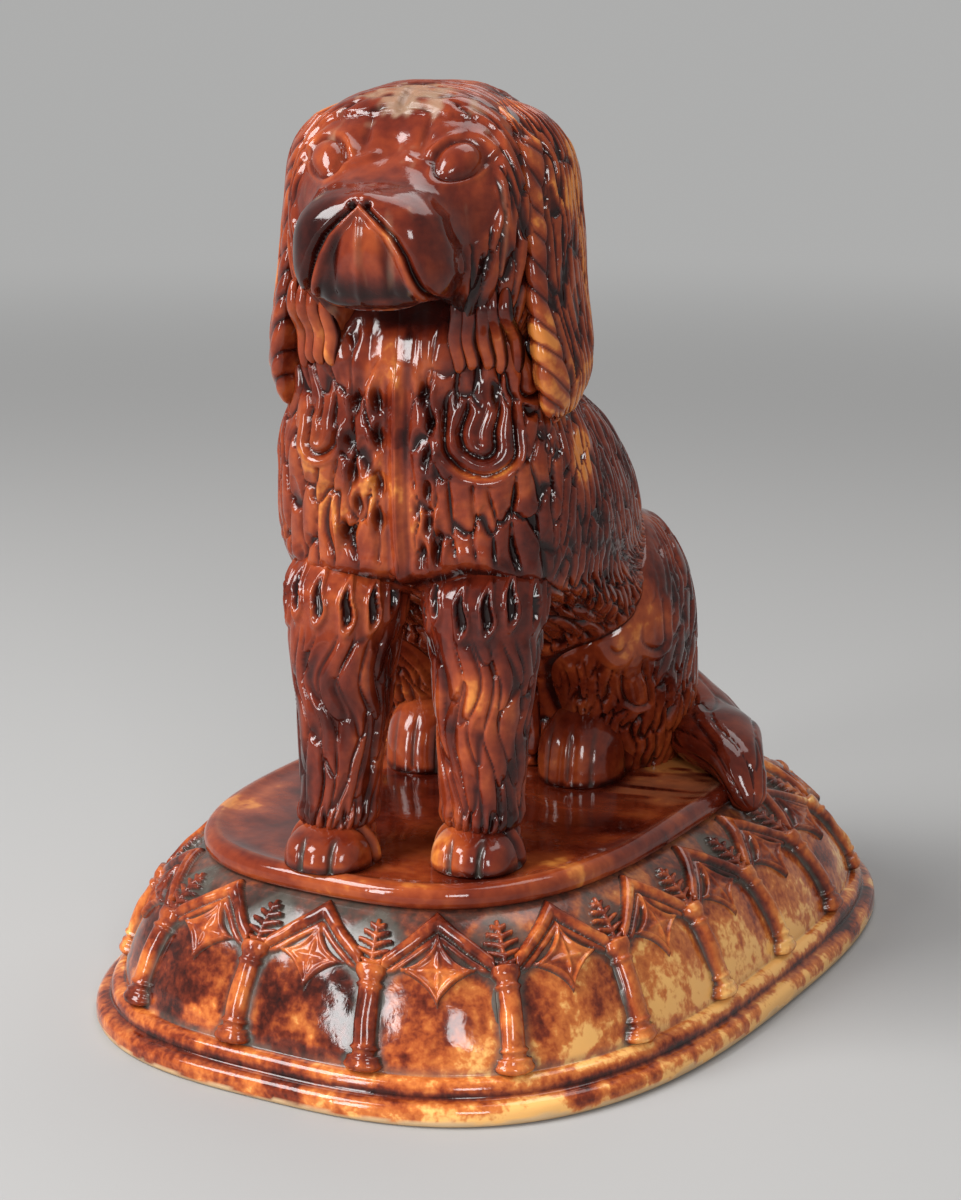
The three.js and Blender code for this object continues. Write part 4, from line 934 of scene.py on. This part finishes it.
def build_head():
    """Head: upright ovals from nape to nose, with a cap of combed hair that frames the face, bulging eyes
    with lobed lids, hanging flews, a folded chin and a small nose raised on them."""
    rows, cols = HEAD_GRID
    at = np.linspace(-38, 53.5, 900)
    spine = np.stack([through(HEAD, "crown", at), through(HEAD, "half", at), at], -1)
    at = even(at, spine, rows)
    turn = np.linspace(0, 2 * math.pi, FINE_STEPS)
    c, s = oval(turn - math.pi / 2, HEAD_POWER)
    turn = even(turn, np.stack([34 * c, 35 * s], -1), cols + 1)[:-1]
    c, s = oval(turn - math.pi / 2, HEAD_POWER)
    crown, jaw, half = (through(HEAD, k, at)[:, None] for k in ("crown", "jaw", "half"))
    z = PLATFORM_TOP + (crown + jaw) / 2 + (crown - jaw) / 2 * s
    x = half * c
    hollow = np.maximum(158.5 - jaw, 0) * ease(at, 3, 14)[:, None]
    z = z + hollow * (1 - ease(np.abs(x), 11, 19)) * ease(-s, 0.3, 0.85)
    points = np.stack(np.broadcast_arrays(x, -at[:, None], z), -1)
    points = domed(points, HEAD_END, (3.0, 0.95))
    n = facing(points)
    around = lengths(points, 1)
    top = int(np.argmin(np.abs(turn - math.pi)))
    down = np.abs(around - around[:, top:top + 1])
    x, p, z = points[..., 0], -points[..., 1], points[..., 2]
    ax = np.abs(x)

    hairline = np.interp(z, HAIRLINE_HEIGHTS, HAIRLINE_OUT) + 0.9 * noise(z / 6, 0 * z, 0, 28)
    hair = np.maximum(ease(ax - hairline, 0.0, 1.6), 1 - ease(p, 7, 12)) * (1 - ease(p, 38, 42))
    nape = ease(-p, 8, 20)
    strand, cut = locks(p + 0.05 * down, down, *HEAD_LOCK, 21, 0.5, 0.25)
    comb, comb_cut = locks(x * 0.95, 284 - z + 0.4 * p, *NAPE_LOCK, 22, 0.5, 0.25)
    strand, cut = between(nape, strand, comb), between(nape, cut, comb_cut)
    fall, fall_cut = locks(33.0 * np.arctan2(ax, p + 4), 284 - z, *CHEEK_LOCK, 29, 0.5, 0.3)
    low = (1 - ease(z, 234, 246)) * ease(p, 2, 8)
    strand, cut = between(low, strand, fall), between(low, cut, fall_cut)
    depth = hair * (1 - 0.5 * ease(z, 258, 266))
    lift = 1.1 * hair - 0.8 + depth * (2.2 * (strand - LOCK_MEAN) - 0.3 * cut)
    pooled_and_shade = 0.95 * depth * cut
    thin = 0.3 * depth * ease(strand, 0.6, 0.9)

    fore = ease(p, 15, 20) * (1 - hair)
    ball = 1 - ((ax - EYE_OUT) / EYE_HALF) ** 2 - ((z - EYE_HEIGHT) / EYE_TALL) ** 2
    ball = np.sqrt(np.clip(ball, 0, 1))
    ex, ez = (ax - LIDS_OUT) / LIDS_HALF, (z - EYE_HEIGHT) / LIDS_TALL
    e = np.maximum(np.hypot(ex, ez), 0.05)
    upper = ease(ez / e, -0.1, 0.4) * (0.2 + 0.8 * np.abs(ex) / e)
    lid = bell(e - 1.2, 0.23) * upper
    lower = bell(e - 1.08, 0.15) * ease(-ez / e, 0.05, 0.5)
    tear = bell(z - 254.9 + 0.36 * (ax - 3), 1.0) * ease(ax, 2, 5) * (1 - ease(ax, 12, 14))
    lift = lift + fore * (3.6 * ball - 0.4 * bell(e, 1.3) + 2.0 * lid + 0.6 * lower + 0.8 * tear)
    brow = bell(z - BROW_HEIGHT, 2.6) * ease(ax, 8, 13) * (1 - ease(ax, 22, 26))
    frown = bell(ax - FROWN_OUT, 1.0) * bell(z - FROWN_HEIGHT, 3.6)
    lift = lift + fore * (0.9 * brow - 1.0 * bell(x, 3.6) * bell(z - 257, 4.5) - 0.9 * frown)
    socket = 0.4 * bell(e - 0.94, 0.1) * (1 - ease(ball, 0, 0.3))
    pooled_and_shade = np.maximum(pooled_and_shade, fore * np.maximum(socket, 0.3 * frown))
    thin = thin + 0.3 * fore * (lid + lower)

    edge = np.interp(z, FLEW_HEIGHTS, FLEW_OUT)
    d = ax - np.interp(z, LIP_HEIGHTS, LIP_OUT)
    front = ease(p, 30, 36)
    mouth = ease(z, 216, 219) * (1 - ease(z, 241.5, 244)) * front
    flew = ease(d, 0.2, 2.2) * (1 - ease(ax - edge, -0.5, 2.5)) * front
    flew = flew * (1 - ease(z, 234, 248)) * ease(z, 215.5, 219)
    valley = bell(ax - edge - 4.2, 3.0) * ease(z, 222, 230) * (1 - ease(z, 242, 249)) * ease(p, 20, 27)
    strip = bell(d + 1.5, 1.1) * mouth
    groove = bell(d - 0.1, 0.65) * mouth
    chin = mouth * (1 - ease(d, -3.8, -2.4))
    fold = bell(ax - 6.6 - 0.10 * (238 - z) + 0.8 * noise(z / 6, x / 9, 0, 23), 1.5)
    lift = lift + 1.7 * flew - 1.3 * valley + 0.7 * strip - 1.6 * groove
    lift = lift + chin * (0.8 * bell(x + 0.5, 1.3) - 0.8 - 0.9 * fold)
    nose = bell(z - NOSE_HEIGHT, 2.6) * bell(x, 4.2) * ease(p, 45, 49)
    pit = bell(ax - NOSTRIL_OUT, 0.9) * bell(z - NOSTRIL_HEIGHT, 0.8) * ease(p, 48, 51)
    lift = lift + 1.3 * nose - 1.8 * pit
    # Painted shade on the head's underside, at the chin's lower edge and lightly over the flews; the grooves,
    # nostrils and chin folds get glaze pooled in them.
    painted_shade_beneath = (1 - ease(z, 215.5, 220)) * ease(p, 20, 26)
    painted_shade_under_chin = 0.8 * chin * (1 - ease(z, 219, 227))
    nostril = np.clip(1.6 * pit, 0, 1)
    for mark in (groove, nostril, 0.5 * chin * fold, painted_shade_under_chin, 0.65 * painted_shade_beneath, 0.2 * flew):
        pooled_and_shade = np.maximum(pooled_and_shade, mark)
    thin = thin + 0.25 * chin * ease(z, 223, 237) * (1 - fold) + 0.5 * strip + 0.25 * nose
    lift = lift + 0.4 * noise(x / 13, p / 13, z / 13, 24)

    scuff = bell(x - 1, 13) * bell(p - 12, 8) * ease(z, 261.5, 264.5)
    ragged = 0.4 * noise(x / 4.5, p / 4.5, 0, 26)
    scuff = ease(scuff + ragged + 0.25 * noise(x / 1.8, p / 1.8, 0, 27), 0.3, 0.75)
    points = points + n * lift[..., None]
    marks = {
        "pooled_and_shade": pooled_and_shade * (1 - scuff), "thin": thin + 0.3 * scuff, "bare": 0.2 * scuff, "dust": 0.55 * scuff,
    }
    grids = [points]
    for side in (1, -1):
        for out in CHEEK_HAIR_OUT[side]:
            grid, parting = cheek_lock(side, out)
            grids.append(grid)
            on_lock = {"pooled_and_shade": parting, "thin": 0.1 * (1 - parting)}
            for word in MARKS:
                value = on_lock.get(word, 0 * parting)
                marks[word] = np.concatenate([marks[word].ravel(), value.ravel()])
    grids = [in_dog(in_head(g)) for g in grids]
    tube("head_visual", grids, marks, face_glaze, ["head_left_half", "head_right_half"])


def build_ear(side, word):
    """Ear: level ovals down a hanging flap, its front edge rolled like a rope and its outside combed."""
    rows, cols = EAR_GRID
    at = np.linspace(211, 126, 500)
    spine = np.stack([through(EAR, "broad", at), through(EAR, "thick", at), at], -1)
    at = even(at, spine, rows)
    turn = np.linspace(0, 2 * math.pi, FINE_STEPS)
    c, s = oval(turn, EAR_POWER)
    turn = even(turn, np.stack([7.5 * c, 20 * s], -1), cols + 1)[:-1]
    c, s = oval(turn, EAR_POWER)
    out, fore, thick, broad = (through(EAR, k, at)[:, None] for k in ("out", "fore", "thick", "broad"))
    z = PLATFORM_TOP + at[:, None]
    slim = 0.52 + 0.48 * ease((s + 1) * broad, 0, 13)
    points = np.stack(np.broadcast_arrays(side * (out + thick * slim * c), broad * s - fore, z), -1)
    points = domed(points, EAR_END, (1.2, 1.2))
    n = facing(points)
    y, z = points[..., 1], points[..., 2]
    pad = ((EAR_END, EAR_END), (0, 0))
    broad, fore, out = (np.pad(np.broadcast_to(a, EAR_GRID), pad, "edge") for a in (broad, fore, out))
    width = (y + fore) + broad
    across = side * points[..., 0] - out
    outer = ease(across, -3.0, 1.0)
    ends = ease(z, 182, 188) * (1 - ease(z, 254, 261))
    brim = 4.2 + 2.2 * ease(z, 240, 256) + 3.0 * (1 - ease(z, 190, 214)) + 0.6 * noise(z / 9, 0 * z, side, 67)
    rope = (1 - ease(width - brim, -0.7, 0.7)) * ends
    wave = z + 0.9 * across + 0.5 * width + 2.6 * noise(z / 11, 0 * z, side, 66)
    twist = np.abs(np.sin(math.pi * wave / 7.6))
    strand, cut = locks(width - 0.12 * (262 - z), 276 - z, *EAR_LOCK, 61 + side, 0.5, 0.25)
    rim = bell(width - brim - 0.3, 0.8) * ends
    comb = (1 - rope) * outer
    lift = comb * (1.4 * (strand - LOCK_MEAN) - 0.25 * cut) - 0.9 * rim * outer
    lift = lift + rope * (0.7 + 0.9 * (twist ** 0.5 - 0.7))
    lift = lift + 0.5 * noise(points[..., 0] / 15, y / 15, z / 15, 63)
    pooled_and_shade = np.maximum(comb * cut, 0.8 * rim * outer)
    pooled_and_shade = np.maximum(pooled_and_shade, 0.5 * rope * (1 - ease(twist, 0.05, 0.3)))
    thin = 0.10 + 0.55 * rope * ease(twist, 0.4, 0.9) * (0.6 + 0.4 * noise(z / 9, 0 * z, 0, 64))
    thin = thin + comb * (0.1 + 0.3 * ease(strand, 0.6, 0.9))
    points = points + n * lift[..., None]
    node, marks = f"ear_{word}", {"pooled_and_shade": pooled_and_shade, "thin": thin}
    tube(f"{node}_visual", [in_dog(in_head(points))], marks, brown_glaze, [node])


def build_leg(side, word):
    """Foreleg: level rounds from paw to chest with soft wavy flutes, a fringe of gouged drops at its top and
    a notched cuff at its foot."""
    rows, cols = LEG_GRID
    at = np.linspace(0, LEG_TOP, 260)
    half = through(LEG, "half", at)
    at = even(at, np.stack([half, at], -1), rows)
    turn = np.arange(cols) / cols * 2 * math.pi + math.pi / 2
    half = (through(LEG, "half", at) * (1 - 0.16 * ease(at, 76, 88)))[:, None]
    forward = LEG_FORWARD[side] + (LEG_CHEST - LEG_FORWARD[side]) * at[:, None] / LEG_TOP
    behind = 4.0 * ease(at, 74, 88)[:, None] - forward
    x, y = side * LEG_OUT + half * np.cos(turn), behind + half * np.sin(turn)
    points = np.stack(np.broadcast_arrays(x, y, PLATFORM_TOP + at[:, None]), -1)
    n = facing(points)
    z = points[..., 2]
    cx, cy = LEG_MEAN * np.cos(turn)[None, :], LEG_MEAN * np.sin(turn)[None, :]
    arc = LEG_MEAN * (turn - math.pi / 2)[None, :] + 1.8 * np.sin(z / 7.0 + side)
    arc = arc + 1.6 * noise(z / 12, 0 * z, side, 70)
    flute, crease = locks(arc, 170 - z, *LEG_LOCK, 171 + side, 0.5, 0.25)
    runs = noise(cx / 6.0, cy / 6.0, z / 20, 71 + side)
    depth = 1 - ease(z, 117, 125)
    lift = depth * (1.7 * (flute - LOCK_MEAN) - 0.1 * crease + 0.7 * runs)
    around = turn[None, :] * DROPS / (2 * math.pi) + 0.3
    row = np.floor(around)
    jitter = scatter(row, 0 * row, 0 * row + side + 2, 72)
    zz = z - (DROP_HEIGHT + 5.0 * (jitter - 0.5))
    arc = around % 1.0 - 0.5 + 0.25 * (jitter - 0.5) + 0.05 * np.sin(zz / 1.8)
    arc = arc * 2 * math.pi * 16.0 / DROPS
    r = np.hypot(arc / (1.0 + 0.6 * ease(-zz, -6, 5)), zz / DROP_HALF)
    pit = np.sqrt(np.clip(1 - r * r, 0, 1))
    rim = bell(r - 1.35, 0.3)
    cuff = bell(z - CUFF_HEIGHT, 2.8)
    notch = ease(np.abs(np.sin(turn[None, :] * CUFF_NOTCHES)), 0.12, 0.4)
    lift = lift + 1.1 * rim - 1.3 * pit + 1.2 * cuff * (notch - 0.35) - 0.9 * bell(z - CUFF_HEIGHT + 4.0, 0.9)
    pooled_and_shade = depth * np.maximum(0.5 * crease, 0.4 * ease(-runs, 0.1, 0.6))
    pooled_and_shade = np.maximum(pooled_and_shade * (1 - 0.7 * rim), 0.95 * ease(pit, 0.15, 0.6))
    pooled_and_shade = np.maximum(pooled_and_shade, 0.65 * cuff * (1 - notch))
    patch = ease(noise(cx / 11, cy / 11, z / 26, 77 + side), -0.1, 0.5)
    thin = depth * patch * (0.2 * ease(flute, 0.6, 0.9) + 0.05)
    thin = thin + 0.25 * patch * bell(z - 114, 12) + 0.2 * rim - 0.10 * side
    points = points + n * lift[..., None]
    points = domed(points, LEG_END, (0.2, 0.2))
    node, marks = f"foreleg_{word}", carried({"pooled_and_shade": pooled_and_shade, "thin": thin}, LEG_END)
    tube(f"{node}_visual", [in_dog(points)], marks, leg_glaze, [node])


def build_paw(node, side, forward, paw, toes, seed):
    """Paw: upright ovals from toe to heel on a flat sole, with soft grooves between the toes and a cuff."""
    rows, cols = PAW_GRID
    share = (1 - np.cos(np.linspace(0.02, 0.98, rows) * math.pi)) / 2
    turn = np.arange(cols) / cols * 2 * math.pi
    c, s = oval(turn, PAW_POWER)
    full = (np.sqrt(1 - (2 * share - 1) ** 2) ** 0.8)[:, None]
    x = paw["half"] * full * c
    y = (share * paw["long"] - paw["toe"] - forward)[:, None]
    z = PLATFORM_TOP + paw["tall"] * full * np.where(s > 0, s, 0.12 * s)
    points = np.stack(np.broadcast_arrays(side * paw["out"] + x, y, z), -1)
    n = facing(points)
    share = share[:, None]
    up = ease(s, -0.05, 0.1)[None, :]
    above = points[..., 2] - PLATFORM_TOP
    low = 1 - ease(above, 0.5 * paw["tall"], 0.85 * paw["tall"])
    front = (1 - ease(share, 0.22, 0.42)) * up * low
    across = x / paw["half"]
    fold = np.abs(np.sin(math.pi * (across * 0.5 + 0.5) * toes))
    groove = (1 - ease(fold, 0.0, 0.45)) * front * (np.abs(across) < 0.86)
    knuckle = fold * front
    ankle = bell(share - 0.44, 0.035) * up
    band = bell(share - 0.52, 0.05) * up
    firm = paw["firm"]
    lift = 0.9 * firm * (knuckle - groove) + 0.9 * (band - ankle)
    lift = lift + 0.35 * up * noise(points[..., 0] / 9, points[..., 1] / 9, above / 9, seed)
    points = points + n * lift[..., None]
    # Painted contact shade along the foot of the paw where it stands on the platform.
    sole = 1 - ease(above, 0.6, 2.4)
    pooled_and_shade = np.clip(0.45 * firm * groove + 0.4 * ankle + 0.6 * sole, 0, 1)
    marks = {"pooled_and_shade": pooled_and_shade, "thin": 0.2 * knuckle + 0.15 * band, "dust": 0.5 * firm * groove}
    tube(f"{node}_visual", [in_dog(points)], marks, face_glaze, [node])


def build_haunch(side, word):
    """Haunch: level ovals up a rounded thigh, smooth where it meets the flank, scored with short locks."""
    rows, cols = HAUNCH_GRID
    at = np.concatenate([[-1.0], 83 * np.sin(np.linspace(0, math.pi / 2, rows))])
    turn = np.arange(cols) / cols * 2 * math.pi
    c, s = oval(turn, HAUNCH_POWER)
    out, half, behind, long = (through(HAUNCH, k, at)[:, None] for k in ("out", "half", "behind", "long"))
    x, y = side * out + half * c, behind + long * s
    points = np.stack(np.broadcast_arrays(x, y, PLATFORM_TOP + at[:, None]), -1)
    points = domed(points, HAUNCH_END, (0.2, 1.2))
    n = facing(points)
    v, z = points[..., 1], points[..., 2]
    outside = beside_body(points[..., 0], v, z)
    arc = 28.0 * np.mod(side * turn - math.pi * (side > 0), 2 * math.pi)[None, :]
    fur, line = locks(arc - 0.35 * (z - 90), 140 - z, *HAUNCH_LOCK, 81 + side, 0.6, 0.32)
    smooth = bell(np.hypot(arc - 64, 0.7 * (z - 112)), 17)
    for s0, t0, radius, rise in HAUNCH_LOOPS:
        wave, cut, rule = curl(arc, 140 - z, s0, t0, radius, rise, 4.4)
        fur, line = between(rule, fur, wave), between(rule, line, cut)
        smooth = smooth * (1 - 0.95 * rule)
    depth = ease(outside, 2.0, 9.0) * (1 - 0.8 * smooth)
    lift = depth * (2.1 * (fur - LOCK_MEAN) - 0.2 * line)
    lift = lift + 0.5 * noise(points[..., 0] / 13, v / 13, z / 13, 85) - 0.8 * (1 - ease(outside, 0.3, 2.2))
    # Painted contact shade, partly glaze pooled, where the haunch meets the flank, over the glaze pooled in
    # the lock lines.
    pooled_and_shade = np.maximum(0.85 * line * depth, 0.8 * (1 - ease(outside, 0.3, 1.6)))
    pooled_and_shade = np.maximum(pooled_and_shade, 0.3 * smooth)
    thin = 0.1 * ease(noise(v / 12, z / 14, side, 86), 0.0, 0.6)
    thin = thin + 0.3 * (1 - ease(z, 62, 84)) * ease(fur, 0.6, 0.9)
    points = points + n * lift[..., None]
    node, marks = f"haunch_{word}", {"pooled_and_shade": pooled_and_shade, "thin": thin}
    tube(f"{node}_visual", [in_dog(points)], marks, brown_glaze, [node])


def build_tail():
    """Tail: flat ovals along a curve round the left haunch, combed lengthwise, its tip over the rim."""
    nodes = TAIL.copy()
    nodes[:, 2] += PLATFORM_TOP
    rows, cols = TAIL_GRID
    route = smooth_path(nodes, rows)
    path, wide, tall = route[:, :3], route[:, 3:4], route[:, 4:5]
    ahead = unit(np.gradient(path, axis=0))
    across = unit(np.cross(np.array([0, 0, 1.0]), ahead))
    above = np.cross(ahead, across)
    turn = np.arange(cols) / cols * 2 * math.pi
    arc = turn[None, :] / (2 * math.pi) * TAIL_GIRTH
    along = np.linspace(0, TAIL_LONG, rows)[:, None]
    seamless = ease(arc, 0, 5) * (1 - ease(arc, TAIL_GIRTH - 5, TAIL_GIRTH))
    strand, cut = locks(arc + 0 * along, along + 0 * arc, *TAIL_LOCK, 91, 0.7, 0.3)
    lift = seamless * (1.2 + 0.7 * (strand - 0.7) - 0.2 * cut + 0.7 * noise(arc / 12, along / 12, 0, 92))
    points = path[:, None, :] + across[:, None, :] * ((wide + lift) * np.cos(turn))[..., None]
    points = points + above[:, None, :] * ((tall + lift) * np.sin(turn))[..., None]
    points = domed(points, TAIL_END, (3.0, 3.2))
    pooled_and_shade = 0.5 * seamless * cut
    thin = 0.3 * ease(along, 66, 100) + 0.3 * ease(noise(arc / 14, along / 20, 0, 93), 0.1, 0.6)
    marks = carried({"pooled_and_shade": pooled_and_shade, "thin": thin}, TAIL_END)
    tube("tail_visual", [in_dog(points)], marks, dark_glaze, ["tail"])


build_skirt()
build_platform()
for bay in range(BAYS):
    number, middle = f"{bay + 1:02d}", bay + ARCADE_SHIFT
    relief_piece(f"colonnette_{number}", middle / BAYS, COLUMN_HALF, COLUMN_REACH, COLUMN_GRID, column_relief)
    half = HALF_BAY - ARCH_INSET
    relief_piece(f"arch_{number}", (middle + 0.5) / BAYS, half, ARCH_REACH, ARCH_GRID, arch_relief)
build_head()
for side, word in ((1, "left"), (-1, "right")):
    build_body_half(side, word)
    build_ear(side, word)
    build_leg(side, word)
    build_paw(f"forepaw_{word}", side, LEG_FORWARD[side], FOREPAW, 3, 75 + side)
    build_paw(f"hind_paw_{word}", side, 0.0, HIND_PAW, 4, 78 + side)
    build_haunch(side, word)
build_tail()


# Stage, light and camera

FLOOR_REACH, FLOOR_COLOUR, PAPER_FAR = 30.0, (0.38, 0.375, 0.367), (0.42, 0.42, 0.416)
AIR_COLOUR, AIR_STRENGTH = (0.93, 0.95, 1.0), 0.2
FILM_HEIGHT, LENS_LENGTH = 36.0, 81.2
CAMERA_PLACE, CAMERA_AIM = (0.3928, -0.7061, 0.3062), (-0.0096, 0.0, 0.1102)

# Name, place, height aimed at, width and height, and watts
LAMPS = (
    ("key_softbox", (-0.75, -0.95, 1.25), 0.12, (0.8, 0.8), 33),
    ("front_softbox", (-0.35, -1.55, 0.55), 0.12, (0.26, 0.8), 13),
    ("fill_softbox", (0.95, -1.25, 0.7), 0.12, (0.4, 0.5), 10),
    ("top_softbox", (0.1, 0.45, 1.5), 0.1, (1.1, 0.8), 9),
)


def look(thing, place, aim):
    """Sets a lamp or camera at a place, turned towards another."""
    thing.location = place
    thing.rotation_euler = (Vector(aim) - Vector(place)).to_track_quat("-Z", "Y").to_euler()


def to_the_eye(tree):
    """1 for rays from the camera, a reflection or clear glass, and 0 for those that light the object."""
    path = tree.nodes.new("ShaderNodeLightPath")
    kinds = (path.outputs[f"Is {kind} Ray"] for kind in ("Camera", "Glossy", "Transmission"))
    camera, mirrored, through_glass = kinds
    return reckon(tree, "MAXIMUM", reckon(tree, "MAXIMUM", camera, mirrored), through_glass)


def show_paper(tree, share, lit, kind, output):
    """Puts the far paper's colour in place of a lit shader, by a share."""
    paper = tree.nodes.new(kind)
    paper.inputs["Color"].default_value = (*PAPER_FAR, 1)
    paper.inputs["Strength"].default_value = 1.0
    mixed = tree.nodes.new("ShaderNodeMixShader")
    for source, socket in zip((share, lit.outputs[0], paper.outputs[0]), mixed.inputs):
        tree.links.new(source, socket)
    tree.links.new(mixed.outputs[0], tree.nodes[output].inputs["Surface"])


def build_floor():
    """Level floor, a wide square; far from the object it is pale paper to the eye and in reflections."""
    corners = [(FLOOR_REACH * x, FLOOR_REACH * y, 0) for x, y in ((-1, -1), (1, -1), (1, 1), (-1, 1))]
    mesh = bpy.data.meshes.new("studio_floor")
    mesh.from_pydata(corners, [], [(0, 1, 2, 3)])
    paper = bpy.data.materials.new("floor_paper")
    paper.use_nodes = True
    tree = paper.node_tree
    shader = tree.nodes["Principled BSDF"]
    shader.inputs["Base Color"].default_value = (*FLOOR_COLOUR, 1)
    shader.inputs["Roughness"].default_value = 0.8
    shader.inputs["Specular IOR Level"].default_value = 0.2
    place, spread, far, near = (
        tree.nodes.new(f"ShaderNode{kind}") for kind in ("TexCoord", "Mapping", "TexGradient", "MapRange")
    )
    spread.inputs["Scale"].default_value = (0.45, 0.45, 0.45)
    far.gradient_type = "SPHERICAL"
    near.interpolation_type = "SMOOTHSTEP"
    near.inputs["From Min"].default_value = 0.72
    near.inputs["From Max"].default_value = 0.1
    tree.links.new(place.outputs["Object"], spread.inputs["Vector"])
    tree.links.new(spread.outputs["Vector"], far.inputs["Vector"])
    tree.links.new(far.outputs["Fac"], near.inputs["Value"])
    share = reckon(tree, "MULTIPLY", to_the_eye(tree), near.outputs[0])
    show_paper(tree, share, shader, "ShaderNodeEmission", "Material Output")
    mesh.materials.append(paper)
    add_to_scene("studio_floor", mesh)


build_floor()
for name, place, height, size, watts in LAMPS:
    light = bpy.data.lights.new(name, "AREA")
    light.shape = "RECTANGLE"
    light.size, light.size_y = size
    light.energy = watts
    look(add_to_scene(name, light), place, (0, 0, height))

world = bpy.data.worlds.new("studio_air")
bpy.context.scene.world = world
world.use_nodes = True
air = world.node_tree.nodes["Background"]
air.inputs["Color"].default_value = (*AIR_COLOUR, 1)
air.inputs["Strength"].default_value = AIR_STRENGTH
show_paper(world.node_tree, to_the_eye(world.node_tree), air, "ShaderNodeBackground", "World Output")

lens = bpy.data.cameras.new("photo_camera")
lens.sensor_fit = "VERTICAL"
lens.sensor_height = FILM_HEIGHT
lens.lens = LENS_LENGTH
camera = add_to_scene("photo_camera", lens)
look(camera, CAMERA_PLACE, CAMERA_AIM)
bpy.context.scene.camera = camera
bpy.context.scene.view_settings.view_transform = "Standard"
